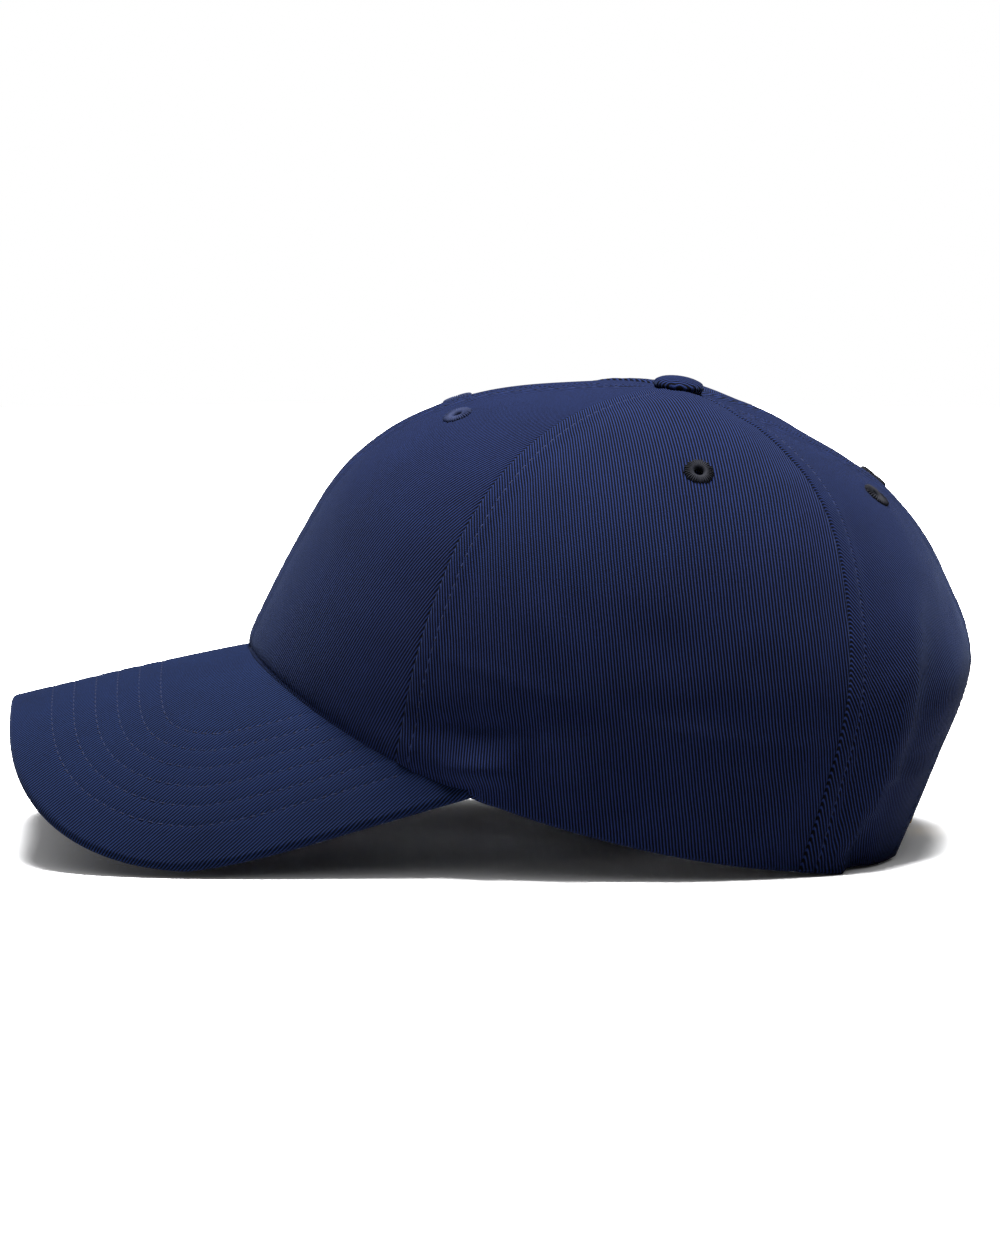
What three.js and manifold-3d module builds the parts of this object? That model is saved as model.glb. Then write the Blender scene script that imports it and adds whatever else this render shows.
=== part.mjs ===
// A six-panel baseball cap with a pre-curved visor, a covered button, stitched eyelets,
// a sweatband and a self-fabric strap that slides through a brass lever clasp at the back.
// Units are millimetres. The visor points along -Y, the wearer's left is +X and +Z is up.
// The cap stands on the two low sides of its visor and on the back of its bottom edge, at z = 0.
import * as THREE from "three";
import { mergeVertices } from "three/addons/utils/BufferGeometryUtils.js";
import Module from "manifold-3d";

const wasm = await Module();
wasm.setup();

// Driving dimensions
const GAP = 0.3; // clearance between pieces that touch
const LAYER_GAP = 0.5; // clearance between curved layers
const CROWN_CENTRE_Y = 24.82;
const CROWN_HALF_WIDTH = 84;
const CROWN_HALF_LENGTH = 95.6;
const APEX_Y = 30; // behind the crown's centre
const APEX_Z = 130.9;
const PANEL_THICKNESS = 1;
const LINING_THICKNESS = 0.6; // seam tape, stiffener and arch binding
const LINING_DEPTH = PANEL_THICKNESS + LAYER_GAP;
const SEAM_TAPE_WIDTH = 12;
const TAPE_NARROWING = 0.55; // widest share of the crown's half width, which six tapes fit round

// Three meridians of the crown at eight levels, from the button down to the bottom edge.
// Each point is the distance out from the crown's centre, then the height.
const FRONT_MERIDIAN = [
  [-APEX_Y, APEX_Z],
  [0, 131],
  [27.3, 128.6],
  [50.5, 120.1],
  [67.4, 106.4],
  [79.4, 87.6],
  [88.2, 70.8],
  [CROWN_HALF_LENGTH, 55.6],
];
const SIDE_MERIDIAN = [
  [0, APEX_Z],
  [24, 130],
  [46, 122.5],
  [64, 108],
  [76.5, 88],
  [84, 63],
  [86, 40],
  [CROWN_HALF_WIDTH, 17],
];
const BACK_MERIDIAN = [
  [APEX_Y, APEX_Z],
  [47.4, 123.6],
  [69.8, 113.6],
  [91.3, 99.4],
  [106, 78.2],
  [114.5, 52],
  [106.5, 27],
  [CROWN_HALF_LENGTH, 0],
];
// How far behind the crown's centre each level's widest place lies.
const LEVEL_CENTRES = [[APEX_Y], [27], [23], [18], [13], [8], [4], [0]];
const BACK_SQUARENESS = 3; // superellipse exponent of the bottom edge's back half; 2 is an ellipse

// Seams, as angles round the crown from the front towards the wearer's left
const FRONT_SEAM = THREE.MathUtils.degToRad(53.5);
const BACK_SEAM_TOP = THREE.MathUtils.degToRad(142);
const BACK_SEAM_BOTTOM = THREE.MathUtils.degToRad(130.5);
const PANEL_TOP = 0.03; // share of the meridian left open under the button
const PANEL_ROWS = 16;

// Visor
const VISOR_CORNER_Y = -31; // from the crown's centre
const VISOR_HALF_WIDTH = 79.5;
const VISOR_LENGTH = 133; // from the corners' line to the front edge
const VISOR_SQUARENESS = 4.6;
const VISOR_ROOT_Y = -98;
const VISOR_ROOT_Z = 54.7;
const VISOR_CLEARANCE = 1.7; // between the visor and the crown's edge above it
const VISOR_SLOPE = 0.2;
const VISOR_DROOP = 0.0004;
const VISOR_BEND_FRONT = 85.16; // radius across the visor, near its front
const VISOR_BEND_BACK = 93; // radius across the visor, at its corners
const VISOR_BEND_FRONT_Y = -112;
const VISOR_COVER = 0.9;
const VISOR_BOARD = 1.6;

// Bottom edge
const EDGE_FLAT_ANGLE = THREE.MathUtils.degToRad(140); // from here back the edge lies flat at z = 0
const EDGE_DROP_EASE = 1.5; // above 1 the edge drops fastest beside the visor's corner

// Sweatband
const SWEATBAND_TOP = 0.79; // share of the meridian at its top edge
const SWEATBAND_THICKNESS = 1.2;
const SWEATBAND_DEPTH = LINING_DEPTH + LINING_THICKNESS + LAYER_GAP;
const SWEATBAND_BACK_DEPTH = 7.4; // where it stands in to let the strap's ends lie behind it
const POCKET_START = THREE.MathUtils.degToRad(128);
const POCKET_FULL = THREE.MathUtils.degToRad(146);

// Rear arch
const ARCH_HALF_WIDTH = 39;
const ARCH_HEIGHT = 44;
const ARCH_BINDING_WIDTH = 7;
const ARCH_BINDING_DEPTH = LINING_DEPTH + 0.2;
const ARCH_CUT_BACK = 140; // the cutting bar runs from here, behind the crown's centre
const ARCH_CUT_LENGTH = 80;
const ARCH_CUT_BELOW = 10;
const ARCH_PATCH_HALF_SWEEP = THREE.MathUtils.degToRad(40); // round the back, wider than the arch

// Eyelets: [angle in degrees, share of the meridian], one panel each, mirrored
const EYELETS = { front: [18.5, 0.345], side: [105, 0.365], back: [163, 0.41] };
const EYELET_RADIUS = 4.3;
const EYELET_HOLE = 1.4;
const EYELET_BARREL = 2.2;
const EYELET_FLANGE = 0.6;
const EYELET_BEVEL = 0.4;
const EYELET_ROOM = 1; // clear of the stiffener
const PUNCH_LENGTH = 12;

// Button
const BUTTON_RADIUS = 7.25;
const BUTTON_HEIGHT = 2.8;
const BUTTON_SKIN = 0.7;
const BUTTON_TILT = THREE.MathUtils.degToRad(8);
const BUTTON_LIFT = 0.4;
const STEM_RADIUS = 1.4;
const WASHER_RADIUS = 6;
const WASHER_DEPTH = 3.2;
const WASHER_THICKNESS = 0.8;

// Strap and clasp
const STRAP_RADIUS = 150; // the strap's curve round its own vertical axis, at its lower edge
const STRAP_AXIS_Y = CROWN_CENTRE_Y + CROWN_HALF_LENGTH - SWEATBAND_DEPTH - STRAP_RADIUS;
const STRAP_LEAN = Math.atan(0.35);
const STRAP_BOTTOM = 4;
const STRAP_RISE = 18; // height of the strap, which leans outward
const STRAP_THICKNESS = 1.6;
const STRAP_SEWN_END = THREE.MathUtils.degToRad(20.7);
const STRAP_FREE_END = THREE.MathUtils.degToRad(-17.2);
const CLASP_ANGLE = THREE.MathUtils.degToRad(-6);
const CLASP_HALF_LENGTH = 9;
const CLASP_METAL = 1.2;
const CLASP_WALL = 10.4; // from the strap's middle line to the clasp's side walls
const CLASP_FLOOR = -1.7;
const CLASP_TOP = 3.9;
const PIN_ALONG = 6; // where the lever's pin crosses the strap
const PIN_OUT = 2.9;
const PIN_RADIUS = 0.6;
const LEVER_BARREL = 1.4;
const LEVER_HALF_WIDTH = CLASP_WALL - GAP;
const TAB_BAR_ALONG = 12;
const TAB_BAR_OUT = -3.2;
const TAB_BAR_RADIUS = 0.7;
const TAB_THICKNESS = 0.8;
const TAB_END = THREE.MathUtils.degToRad(-18.2);
const PIN_HEAD = 0.3; // how far the pin stands out of the clasp's side walls
const LEVER_LIP = 1; // how far the lever's free end passes the frame
const OVERRUN = 1; // how far a cutting tool or a joined piece runs past what it meets

// A smooth curve through a list of points, read at a share from 0 to 1.
function spline(points, share) {
  const last = points.length - 1;
  const place = THREE.MathUtils.clamp(share, 0, 1) * last;
  const index = Math.min(Math.floor(place), last - 1);
  const weight = place - index;
  const at = (i, k) => {
    if (i < 0) return 2 * points[0][k] - points[1][k];
    if (i > last) return 2 * points[last][k] - points[last - 1][k];
    return points[i][k];
  };
  return points[0].map((_, k) => {
    const [a, b, c, d] = [at(index - 1, k), at(index, k), at(index + 1, k), at(index + 2, k)];
    const slopeIn = (c - a) / 2;
    const slopeOut = (d - b) / 2;
    const square = 2 * b - 2 * c + slopeIn + slopeOut;
    const line = -3 * b + 3 * c - 2 * slopeIn - slopeOut;
    return ((square * weight + line) * weight + slopeIn) * weight + b;
  });
}

// Distance from the centre to a superellipse, in the direction at this angle from -Y.
function superellipseRadius(angle, halfWidth, halfLength, exponent) {
  const across = Math.abs(Math.sin(angle) / halfWidth) ** exponent;
  const along = Math.abs(Math.cos(angle) / halfLength) ** exponent;
  return (across + along) ** (-1 / exponent);
}

// Height of the visor's top face; y is measured from the crown's centre.
function visorHeight(x, y) {
  const forward = Math.max(0, VISOR_ROOT_Y - y);
  const ridge = VISOR_ROOT_Z + VISOR_SLOPE * (y - VISOR_ROOT_Y) - VISOR_DROOP * forward ** 2;
  const back = THREE.MathUtils.clamp(
    (y - VISOR_BEND_FRONT_Y) / (VISOR_CORNER_Y - VISOR_BEND_FRONT_Y), 0, 1);
  const bend = THREE.MathUtils.lerp(VISOR_BEND_FRONT, VISOR_BEND_BACK, back);
  return ridge - bend + Math.sqrt(bend ** 2 - x ** 2);
}

const VISOR_CORNER_ANGLE = Math.atan2(VISOR_HALF_WIDTH, -VISOR_CORNER_Y);

// Height of the crown's bottom edge: on the visor in front, then down to the flat back.
function edgeHeight(angle) {
  const turn = Math.min(Math.abs(angle), 2 * Math.PI - Math.abs(angle));
  const onVisor = (a) => {
    const radius = superellipseRadius(a, CROWN_HALF_WIDTH, CROWN_HALF_LENGTH, 2);
    return visorHeight(radius * Math.sin(a), -radius * Math.cos(a)) + VISOR_CLEARANCE;
  };
  if (turn <= VISOR_CORNER_ANGLE) return onVisor(turn);
  const left = Math.max(0, (EDGE_FLAT_ANGLE - turn) / (EDGE_FLAT_ANGLE - VISOR_CORNER_ANGLE));
  return onVisor(VISOR_CORNER_ANGLE) * left ** EDGE_DROP_EASE;
}

// A point of the crown's outer face; share runs from 0 at the button to 1 at the bottom edge.
function crownPoint(angle, share) {
  const towardFront = Math.cos(angle) > 0;
  const [centre] = spline(LEVEL_CENTRES, share);
  const [halfWidth, sideHeight] = spline(SIDE_MERIDIAN, share);
  const meridian = towardFront ? FRONT_MERIDIAN : BACK_MERIDIAN;
  const [reach, endHeight] = spline(meridian, share);
  const halfLength = towardFront ? reach + centre : reach - centre;
  const squareness = towardFront ? 2 : THREE.MathUtils.lerp(2, BACK_SQUARENESS, share);
  const radius = superellipseRadius(angle, halfWidth, halfLength, squareness);
  const drop = (height, list) => (APEX_Z - height) / (APEX_Z - list[list.length - 1][1]);
  const endWeight = Math.cos(angle) ** 2;
  const fall = endWeight * drop(endHeight, meridian)
    + (1 - endWeight) * drop(sideHeight, SIDE_MERIDIAN);
  return new THREE.Vector3(
    radius * Math.sin(angle),
    CROWN_CENTRE_Y + centre - radius * Math.cos(angle),
    APEX_Z - fall * (APEX_Z - edgeHeight(angle)),
  );
}

// The outward direction of the crown's outer face.
const NORMAL_STEP = 0.002; // in radians round the crown, and as a share of the meridian
function crownNormal(angle, share) {
  const around = crownPoint(angle + NORMAL_STEP, share).sub(crownPoint(angle - NORMAL_STEP, share));
  const down = crownPoint(angle, share + NORMAL_STEP).sub(crownPoint(angle, share - NORMAL_STEP));
  return down.cross(around).normalize();
}

// A point this far inside the crown's outer face.
function crownLayer(angle, share, depth) {
  const inner = Math.min(Math.max(share, NORMAL_STEP), 1 - NORMAL_STEP);
  return crownPoint(angle, share).addScaledVector(crownNormal(angle, inner), -depth);
}

// The angle that lies this many millimetres round the crown from another angle.
function angleBeside(angle, share, distance) {
  const [halfWidth] = spline(SIDE_MERIDIAN, share);
  return angle + distance / Math.max(halfWidth, 1);
}

function backSeam(share) {
  return THREE.MathUtils.lerp(BACK_SEAM_TOP, BACK_SEAM_BOTTOM, share);
}

// Solids
function signedVolume(positions, index) {
  const [a, b, c] = [new THREE.Vector3(), new THREE.Vector3(), new THREE.Vector3()];
  let sum = 0;
  for (let i = 0; i < index.length; i += 3) {
    a.fromArray(positions, 3 * index[i]);
    b.fromArray(positions, 3 * index[i + 1]);
    c.fromArray(positions, 3 * index[i + 2]);
    sum += a.dot(b.cross(c));
  }
  return sum;
}

// A closed slab between two faces, each a function of u and v from 0 to 1.
function slab(columns, rows, outer, inner) {
  const positions = [];
  const index = [];
  const perSide = (columns + 1) * (rows + 1);
  for (const face of [outer, inner]) {
    for (let j = 0; j <= rows; j++) {
      for (let i = 0; i <= columns; i++) positions.push(...face(i / columns, j / rows).toArray());
    }
  }
  const at = (i, j, side) => side * perSide + j * (columns + 1) + i;
  const quad = (a, b, c, d) => index.push(a, b, c, a, c, d);
  for (let j = 0; j < rows; j++) {
    for (let i = 0; i < columns; i++) {
      quad(at(i, j, 0), at(i + 1, j, 0), at(i + 1, j + 1, 0), at(i, j + 1, 0));
      quad(at(i, j, 1), at(i, j + 1, 1), at(i + 1, j + 1, 1), at(i + 1, j, 1));
    }
  }
  for (let i = 0; i < columns; i++) {
    quad(at(i, 0, 0), at(i, 0, 1), at(i + 1, 0, 1), at(i + 1, 0, 0));
    quad(at(i, rows, 0), at(i + 1, rows, 0), at(i + 1, rows, 1), at(i, rows, 1));
  }
  for (let j = 0; j < rows; j++) {
    quad(at(0, j, 0), at(0, j + 1, 0), at(0, j + 1, 1), at(0, j, 1));
    quad(at(columns, j, 0), at(columns, j, 1), at(columns, j + 1, 1), at(columns, j + 1, 0));
  }
  if (signedVolume(positions, index) < 0) index.reverse();
  const geometry = new THREE.BufferGeometry();
  geometry.setAttribute("position", new THREE.Float32BufferAttribute(positions, 3));
  geometry.setIndex(index);
  return geometry;
}

function toSolid(geometry) {
  const bare = geometry.clone();
  bare.deleteAttribute("normal");
  bare.deleteAttribute("uv");
  const merged = mergeVertices(bare, 1e-4);
  return new wasm.Manifold(new wasm.Mesh({
    numProp: 3,
    vertProperties: merged.attributes.position.array,
    triVerts: new Uint32Array(merged.index.array),
  }));
}

function toGeometry(solid) {
  const mesh = solid.getMesh();
  const geometry = new THREE.BufferGeometry();
  geometry.setAttribute("position", new THREE.Float32BufferAttribute(mesh.vertProperties, 3));
  geometry.setIndex([...mesh.triVerts]);
  return geometry;
}

function box(min, max) {
  const geometry = new THREE.BoxGeometry(max[0] - min[0], max[1] - min[1], max[2] - min[2]);
  return geometry.translate(
    (min[0] + max[0]) / 2, (min[1] + max[1]) / 2, (min[2] + max[2]) / 2);
}

// A solid of revolution about Y from [radius, height] points.
function turned(points, segments) {
  return new THREE.LatheGeometry(points.map(([r, h]) => new THREE.Vector2(r, h)), segments);
}

// A geometry built about +Y at the origin, moved onto the crown at this angle and share.
function onCrown(geometry, angle, share) {
  const turn = new THREE.Quaternion().setFromUnitVectors(
    new THREE.Vector3(0, 1, 0), crownNormal(angle, share));
  const place = crownPoint(angle, share);
  return geometry.applyQuaternion(turn).translate(place.x, place.y, place.z);
}

// The outline of the rear arch pushed outward, as a bar that runs through the back of the cap.
function archBar(outset) {
  const shape = new THREE.Shape();
  const halfWidth = ARCH_HALF_WIDTH + outset;
  const height = ARCH_HEIGHT + outset;
  shape.moveTo(halfWidth, -ARCH_CUT_BELOW);
  shape.lineTo(halfWidth, 0);
  shape.absellipse(0, 0, halfWidth, height, 0, Math.PI, false);
  shape.lineTo(-halfWidth, -ARCH_CUT_BELOW);
  const bar = new THREE.ExtrudeGeometry(
    shape, { depth: ARCH_CUT_LENGTH, bevelEnabled: false, curveSegments: 14 });
  return bar.rotateX(Math.PI / 2).translate(0, CROWN_CENTRE_Y + ARCH_CUT_BACK, 0);
}

// Materials
const material = (color, roughness, metalness = 0) =>
  new THREE.MeshStandardMaterial({ color, roughness, metalness });
const twill = material(0x252f50, 0.9);
const visorTwill = material(0x2b3760, 0.9);
const thread = material(0x171b2c, 0.8);
const lining = material(0x1b2036, 0.9);
const stiffenerWhite = material(0xd9dade, 0.85);
const boardWhite = material(0xe6e6e2, 0.6);
const brass = material(0xa88a4d, 0.35, 1);
const labelWhite = material(0xe9e9ea, 0.8);

const cap = new THREE.Group();
function add(parent, name, geometry, look) {
  const mesh = new THREE.Mesh(geometry, look);
  mesh.name = name;
  parent.add(mesh);
}

// Crown panels: a shell between two seams, with its eyelet's hole and the rear arch cut out
const SIDES = { left: 1, right: -1 };
const PANELS = {
  front: { from: () => 0, to: () => FRONT_SEAM, columns: 8 },
  side: { from: () => FRONT_SEAM, to: backSeam, columns: 11 },
  back: { from: backSeam, to: () => Math.PI, columns: 8 },
};

function panelGeometry(panel, sign) {
  const face = (depth) => (u, v) => {
    const share = THREE.MathUtils.lerp(PANEL_TOP, 1, v);
    const start = angleBeside(panel.from(share), share, GAP / 2);
    const end = angleBeside(panel.to(share), share, -GAP / 2);
    const angle = sign * THREE.MathUtils.lerp(start, end, u);
    const point = crownLayer(angle, share, depth);
    if (v === 1) point.z = edgeHeight(angle); // the cut edge is level from face to face
    return point;
  };
  return slab(panel.columns, PANEL_ROWS, face(0), face(PANEL_THICKNESS));
}

for (const [side, sign] of Object.entries(SIDES)) {
  for (const [place, panel] of Object.entries(PANELS)) {
    const [degrees, share] = EYELETS[place];
    const angle = sign * THREE.MathUtils.degToRad(degrees);
    const punch = new THREE.CylinderGeometry(
      EYELET_BARREL + GAP, EYELET_BARREL + GAP, PUNCH_LENGTH, 12);
    let solid = toSolid(panelGeometry(panel, sign)).subtract(toSolid(onCrown(punch, angle, share)));
    if (place === "back") solid = solid.subtract(toSolid(archBar(0)));
    add(cap, `${place}_panel_${side}`, toGeometry(solid), twill);

    const top = LAYER_GAP + EYELET_FLANGE;
    const bottom = -PANEL_THICKNESS - LAYER_GAP - EYELET_FLANGE;
    const eyelet = turned([
      [EYELET_HOLE, bottom],
      [EYELET_RADIUS, bottom],
      [EYELET_RADIUS, bottom + EYELET_FLANGE],
      [EYELET_BARREL, bottom + EYELET_FLANGE],
      [EYELET_BARREL, LAYER_GAP],
      [EYELET_RADIUS, LAYER_GAP],
      [EYELET_RADIUS - EYELET_BEVEL, top],
      [EYELET_HOLE, top],
      [EYELET_HOLE, bottom],
    ], 12);
    add(cap, `${place}_eyelet_${side}`, onCrown(eyelet, angle, share), thread);
  }
}

// Seam tapes inside the crown; near the button they narrow so that six fit side by side
function tapeGeometry(seam, top, bottom, depth) {
  const face = (level) => (u, v) => {
    const share = THREE.MathUtils.lerp(top, bottom, v);
    const [halfWidth] = spline(SIDE_MERIDIAN, share);
    const width = Math.min(SEAM_TAPE_WIDTH, TAPE_NARROWING * halfWidth);
    return crownLayer(angleBeside(seam(share), share, width * (u - 0.5)), share, level);
  };
  return slab(2, 14, face(depth), face(depth + LINING_THICKNESS));
}

const TAPE_TOP = 0.07;
const TAPE_BOTTOM = 0.97;
const ARCH_TAPE_BOTTOM = 0.6;
const ARCH_PATCH_TOP = 0.61;
const CENTRE_TAPE_BOTTOM = 0.77;
add(cap, "front_centre_seam_tape",
  tapeGeometry(() => 0, TAPE_TOP, CENTRE_TAPE_BOTTOM, SWEATBAND_DEPTH), lining);
add(cap, "back_centre_seam_tape",
  tapeGeometry(() => Math.PI, TAPE_TOP, ARCH_TAPE_BOTTOM, LINING_DEPTH), lining);
for (const [side, sign] of Object.entries(SIDES)) {
  add(cap, `front_seam_tape_${side}`,
    tapeGeometry(() => sign * FRONT_SEAM, TAPE_TOP, TAPE_BOTTOM, LINING_DEPTH), lining);
  add(cap, `back_seam_tape_${side}`,
    tapeGeometry((share) => sign * backSeam(share), TAPE_TOP, TAPE_BOTTOM, LINING_DEPTH), lining);
}

// Light stiffener behind the two front panels, between the front side seams' tapes
const STIFFENER_TOP = 0.2;
const STIFFENER_ROOM = 1; // beside the seam tapes
function stiffenerFace(depth) {
  return (u, v) => {
    const share = THREE.MathUtils.lerp(STIFFENER_TOP, TAPE_BOTTOM, v);
    const edge = angleBeside(FRONT_SEAM, share, -SEAM_TAPE_WIDTH / 2 - STIFFENER_ROOM);
    return crownLayer(THREE.MathUtils.lerp(-edge, edge, u), share, depth);
  };
}
const stiffener = toSolid(slab(14, 12, stiffenerFace(LINING_DEPTH),
  stiffenerFace(LINING_DEPTH + LINING_THICKNESS)));
const eyeletClearance = (sign) => {
  const [degrees, share] = EYELETS.front;
  const punch = new THREE.CylinderGeometry(
    EYELET_RADIUS + EYELET_ROOM, EYELET_RADIUS + EYELET_ROOM, PUNCH_LENGTH, 14);
  return toSolid(onCrown(punch, sign * THREE.MathUtils.degToRad(degrees), share));
};
add(cap, "front_stiffener",
  toGeometry(stiffener.subtract(eyeletClearance(1)).subtract(eyeletClearance(-1))), stiffenerWhite);

// Binding round the rear arch, on the inside of the back panels
function archPatchFace(depth) {
  return (u, v) => crownLayer(
    Math.PI + ARCH_PATCH_HALF_SWEEP * (2 * u - 1),
    THREE.MathUtils.lerp(ARCH_PATCH_TOP, 1, v), depth);
}
const archPatch = toSolid(slab(28, 12, archPatchFace(ARCH_BINDING_DEPTH),
  archPatchFace(ARCH_BINDING_DEPTH + LINING_THICKNESS)));
add(cap, "arch_binding",
  toGeometry(archPatch.intersect(toSolid(archBar(ARCH_BINDING_WIDTH))).subtract(toSolid(archBar(0)))),
  twill);

// Sweatband, open at the rear arch; its ends stand in to leave a pocket for the strap
function sweatbandDepth(angle) {
  const inward = THREE.MathUtils.smoothstep(Math.abs(angle), POCKET_START, POCKET_FULL);
  return THREE.MathUtils.lerp(SWEATBAND_DEPTH, SWEATBAND_BACK_DEPTH, inward);
}
const SWEATBAND_END = Math.PI - Math.atan2(ARCH_HALF_WIDTH + 2, CROWN_HALF_LENGTH - 4);
function sweatbandFace(extra) {
  return (u, v) => {
    const angle = THREE.MathUtils.lerp(-SWEATBAND_END, SWEATBAND_END, u);
    return crownLayer(angle, THREE.MathUtils.lerp(SWEATBAND_TOP, 1, v), sweatbandDepth(angle) + extra);
  };
}
add(cap, "sweatband", slab(44, 3, sweatbandFace(0), sweatbandFace(SWEATBAND_THICKNESS)), twill);

// Blank woven label on the inside of the sweatband
const LABEL_ANGLE = THREE.MathUtils.degToRad(-108);
const LABEL_DEPTH = SWEATBAND_DEPTH + SWEATBAND_THICKNESS + LAYER_GAP;
const LABEL_SWEEP = 0.26;
const LABEL_TOP = 0.83; // shares of the meridian
const LABEL_BOTTOM = 0.97;
const LABEL_THICKNESS = 0.4;
function labelFace(depth) {
  return (u, v) => crownLayer(
    LABEL_ANGLE + LABEL_SWEEP * (u - 0.5), THREE.MathUtils.lerp(LABEL_TOP, LABEL_BOTTOM, v), depth);
}
add(cap, "care_label",
  slab(3, 3, labelFace(LABEL_DEPTH), labelFace(LABEL_DEPTH + LABEL_THICKNESS)), labelWhite);

// Covered button on top, its metal core and the washer it is set onto inside the crown
function buttonPlaced(geometry) {
  return geometry.rotateX(Math.PI / 2 - BUTTON_TILT)
    .translate(0, CROWN_CENTRE_Y + APEX_Y, APEX_Z + BUTTON_LIFT);
}
function domeArc(radius, height, steps) {
  return Array.from({ length: steps + 1 }, (_, i) => {
    const turn = (Math.PI / 2) * (i / steps);
    return [radius * Math.cos(turn), height * Math.sin(turn)];
  });
}
const innerRadius = BUTTON_RADIUS - BUTTON_SKIN;
const innerHeight = BUTTON_HEIGHT - BUTTON_SKIN;
add(cap, "button_cover", buttonPlaced(turned([
  ...domeArc(BUTTON_RADIUS, BUTTON_HEIGHT, 6),
  ...domeArc(innerRadius, innerHeight, 6).reverse(),
  [BUTTON_RADIUS, 0],
], 24)), twill);
const stemBottom = -BUTTON_LIFT - WASHER_DEPTH - WASHER_THICKNESS;
add(cap, "button_core", buttonPlaced(turned([
  [0, stemBottom],
  [STEM_RADIUS, stemBottom],
  [STEM_RADIUS, 0],
  ...domeArc(innerRadius - GAP, innerHeight - GAP, 5),
], 20)), brass);
const washerTop = -BUTTON_LIFT - WASHER_DEPTH;
add(cap, "button_washer", buttonPlaced(turned([
  [STEM_RADIUS + GAP, washerTop - WASHER_THICKNESS],
  [WASHER_RADIUS, washerTop - WASHER_THICKNESS],
  [WASHER_RADIUS, washerTop],
  [STEM_RADIUS + GAP, washerTop],
  [STEM_RADIUS + GAP, washerTop - WASHER_THICKNESS],
], 20)), brass);

// Visor: a board between two fabric covers, from under the crown's front edge to its outline
const VISOR_END = 0.975; // share of the half sweep at which the visor ends beside its corner
function visorPoint(across, out) {
  const sweep = across * VISOR_END;
  const rootAngle = sweep * VISOR_CORNER_ANGLE;
  const rootRadius = superellipseRadius(
    rootAngle, CROWN_HALF_WIDTH - PANEL_THICKNESS, CROWN_HALF_LENGTH - PANEL_THICKNESS, 2);
  const rimAngle = sweep * (Math.PI / 2);
  const rimRadius = superellipseRadius(
    rimAngle, VISOR_HALF_WIDTH, VISOR_LENGTH, VISOR_SQUARENESS);
  const x = THREE.MathUtils.lerp(
    rootRadius * Math.sin(rootAngle), rimRadius * Math.sin(rimAngle), out);
  const y = THREE.MathUtils.lerp(
    -rootRadius * Math.cos(rootAngle), VISOR_CORNER_Y - rimRadius * Math.cos(rimAngle), out);
  return new THREE.Vector3(x, y, visorHeight(x, y));
}

function visorLayer(across, out, depth) {
  const point = visorPoint(across, out);
  const height = (dx, dy) => visorHeight(point.x + dx, point.y + dy);
  const slopeX = height(0.5, 0) - height(-0.5, 0);
  const slopeY = height(0, 0.5) - height(0, -0.5);
  const normal = new THREE.Vector3(-slopeX, -slopeY, 1).normalize();
  point.addScaledVector(normal, -depth);
  point.y += CROWN_CENTRE_Y;
  return point;
}

function visorSlab(depth, thickness, rim) {
  const face = (level) => (u, v) => visorLayer(2 * u - 1, v * rim, level);
  return slab(28, 5, face(depth), face(depth + thickness));
}

const BOARD_RIM = 0.985; // the board stops short of the covers' rim
const boardDepth = VISOR_COVER + GAP;
const underDepth = boardDepth + VISOR_BOARD + GAP;
add(cap, "visor_top_cover", visorSlab(0, VISOR_COVER, 1), visorTwill);
add(cap, "visor_board", visorSlab(boardDepth, VISOR_BOARD, BOARD_RIM), boardWhite);
add(cap, "visor_under_cover", visorSlab(underDepth, VISOR_COVER, 1), visorTwill);

// Strap: a band of a leaning cone round its own vertical axis, so it can slide along itself
function strapPoint(angle, height, depth) {
  const radius = STRAP_RADIUS + height * Math.tan(STRAP_LEAN) - depth * Math.cos(STRAP_LEAN);
  return new THREE.Vector3(
    radius * Math.sin(angle),
    STRAP_AXIS_Y + radius * Math.cos(angle),
    height + depth * Math.sin(STRAP_LEAN),
  );
}

function bandGeometry(from, to, columns, depth, thickness) {
  const face = (level) => (u, v) => strapPoint(
    THREE.MathUtils.lerp(from, to, u), STRAP_BOTTOM + STRAP_RISE * v, level);
  return slab(columns, 1, face(depth), face(depth + thickness));
}
add(cap, "strap", bandGeometry(STRAP_FREE_END, STRAP_SEWN_END, 20, 0, STRAP_THICKNESS), twill);

// The clasp's own frame: X along the strap to the wearer's right, Y up it, Z out from it
const clasp = new THREE.Group();
clasp.applyMatrix4(new THREE.Matrix4().makeBasis(
  new THREE.Vector3(-Math.cos(CLASP_ANGLE), Math.sin(CLASP_ANGLE), 0),
  new THREE.Vector3(
    Math.sin(CLASP_ANGLE) * Math.sin(STRAP_LEAN),
    Math.cos(CLASP_ANGLE) * Math.sin(STRAP_LEAN),
    Math.cos(STRAP_LEAN)),
  new THREE.Vector3(
    Math.sin(CLASP_ANGLE) * Math.cos(STRAP_LEAN),
    Math.cos(CLASP_ANGLE) * Math.cos(STRAP_LEAN),
    -Math.sin(STRAP_LEAN)),
).setPosition(strapPoint(CLASP_ANGLE, STRAP_BOTTOM + STRAP_RISE / 2, STRAP_THICKNESS / 2)));
cap.add(clasp);

// A round bar across the strap, along the clasp's Y.
function crossBar(along, out, radius, halfLength, segments) {
  return new THREE.CylinderGeometry(radius, radius, 2 * halfLength, segments)
    .translate(along, 0, out);
}

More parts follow.
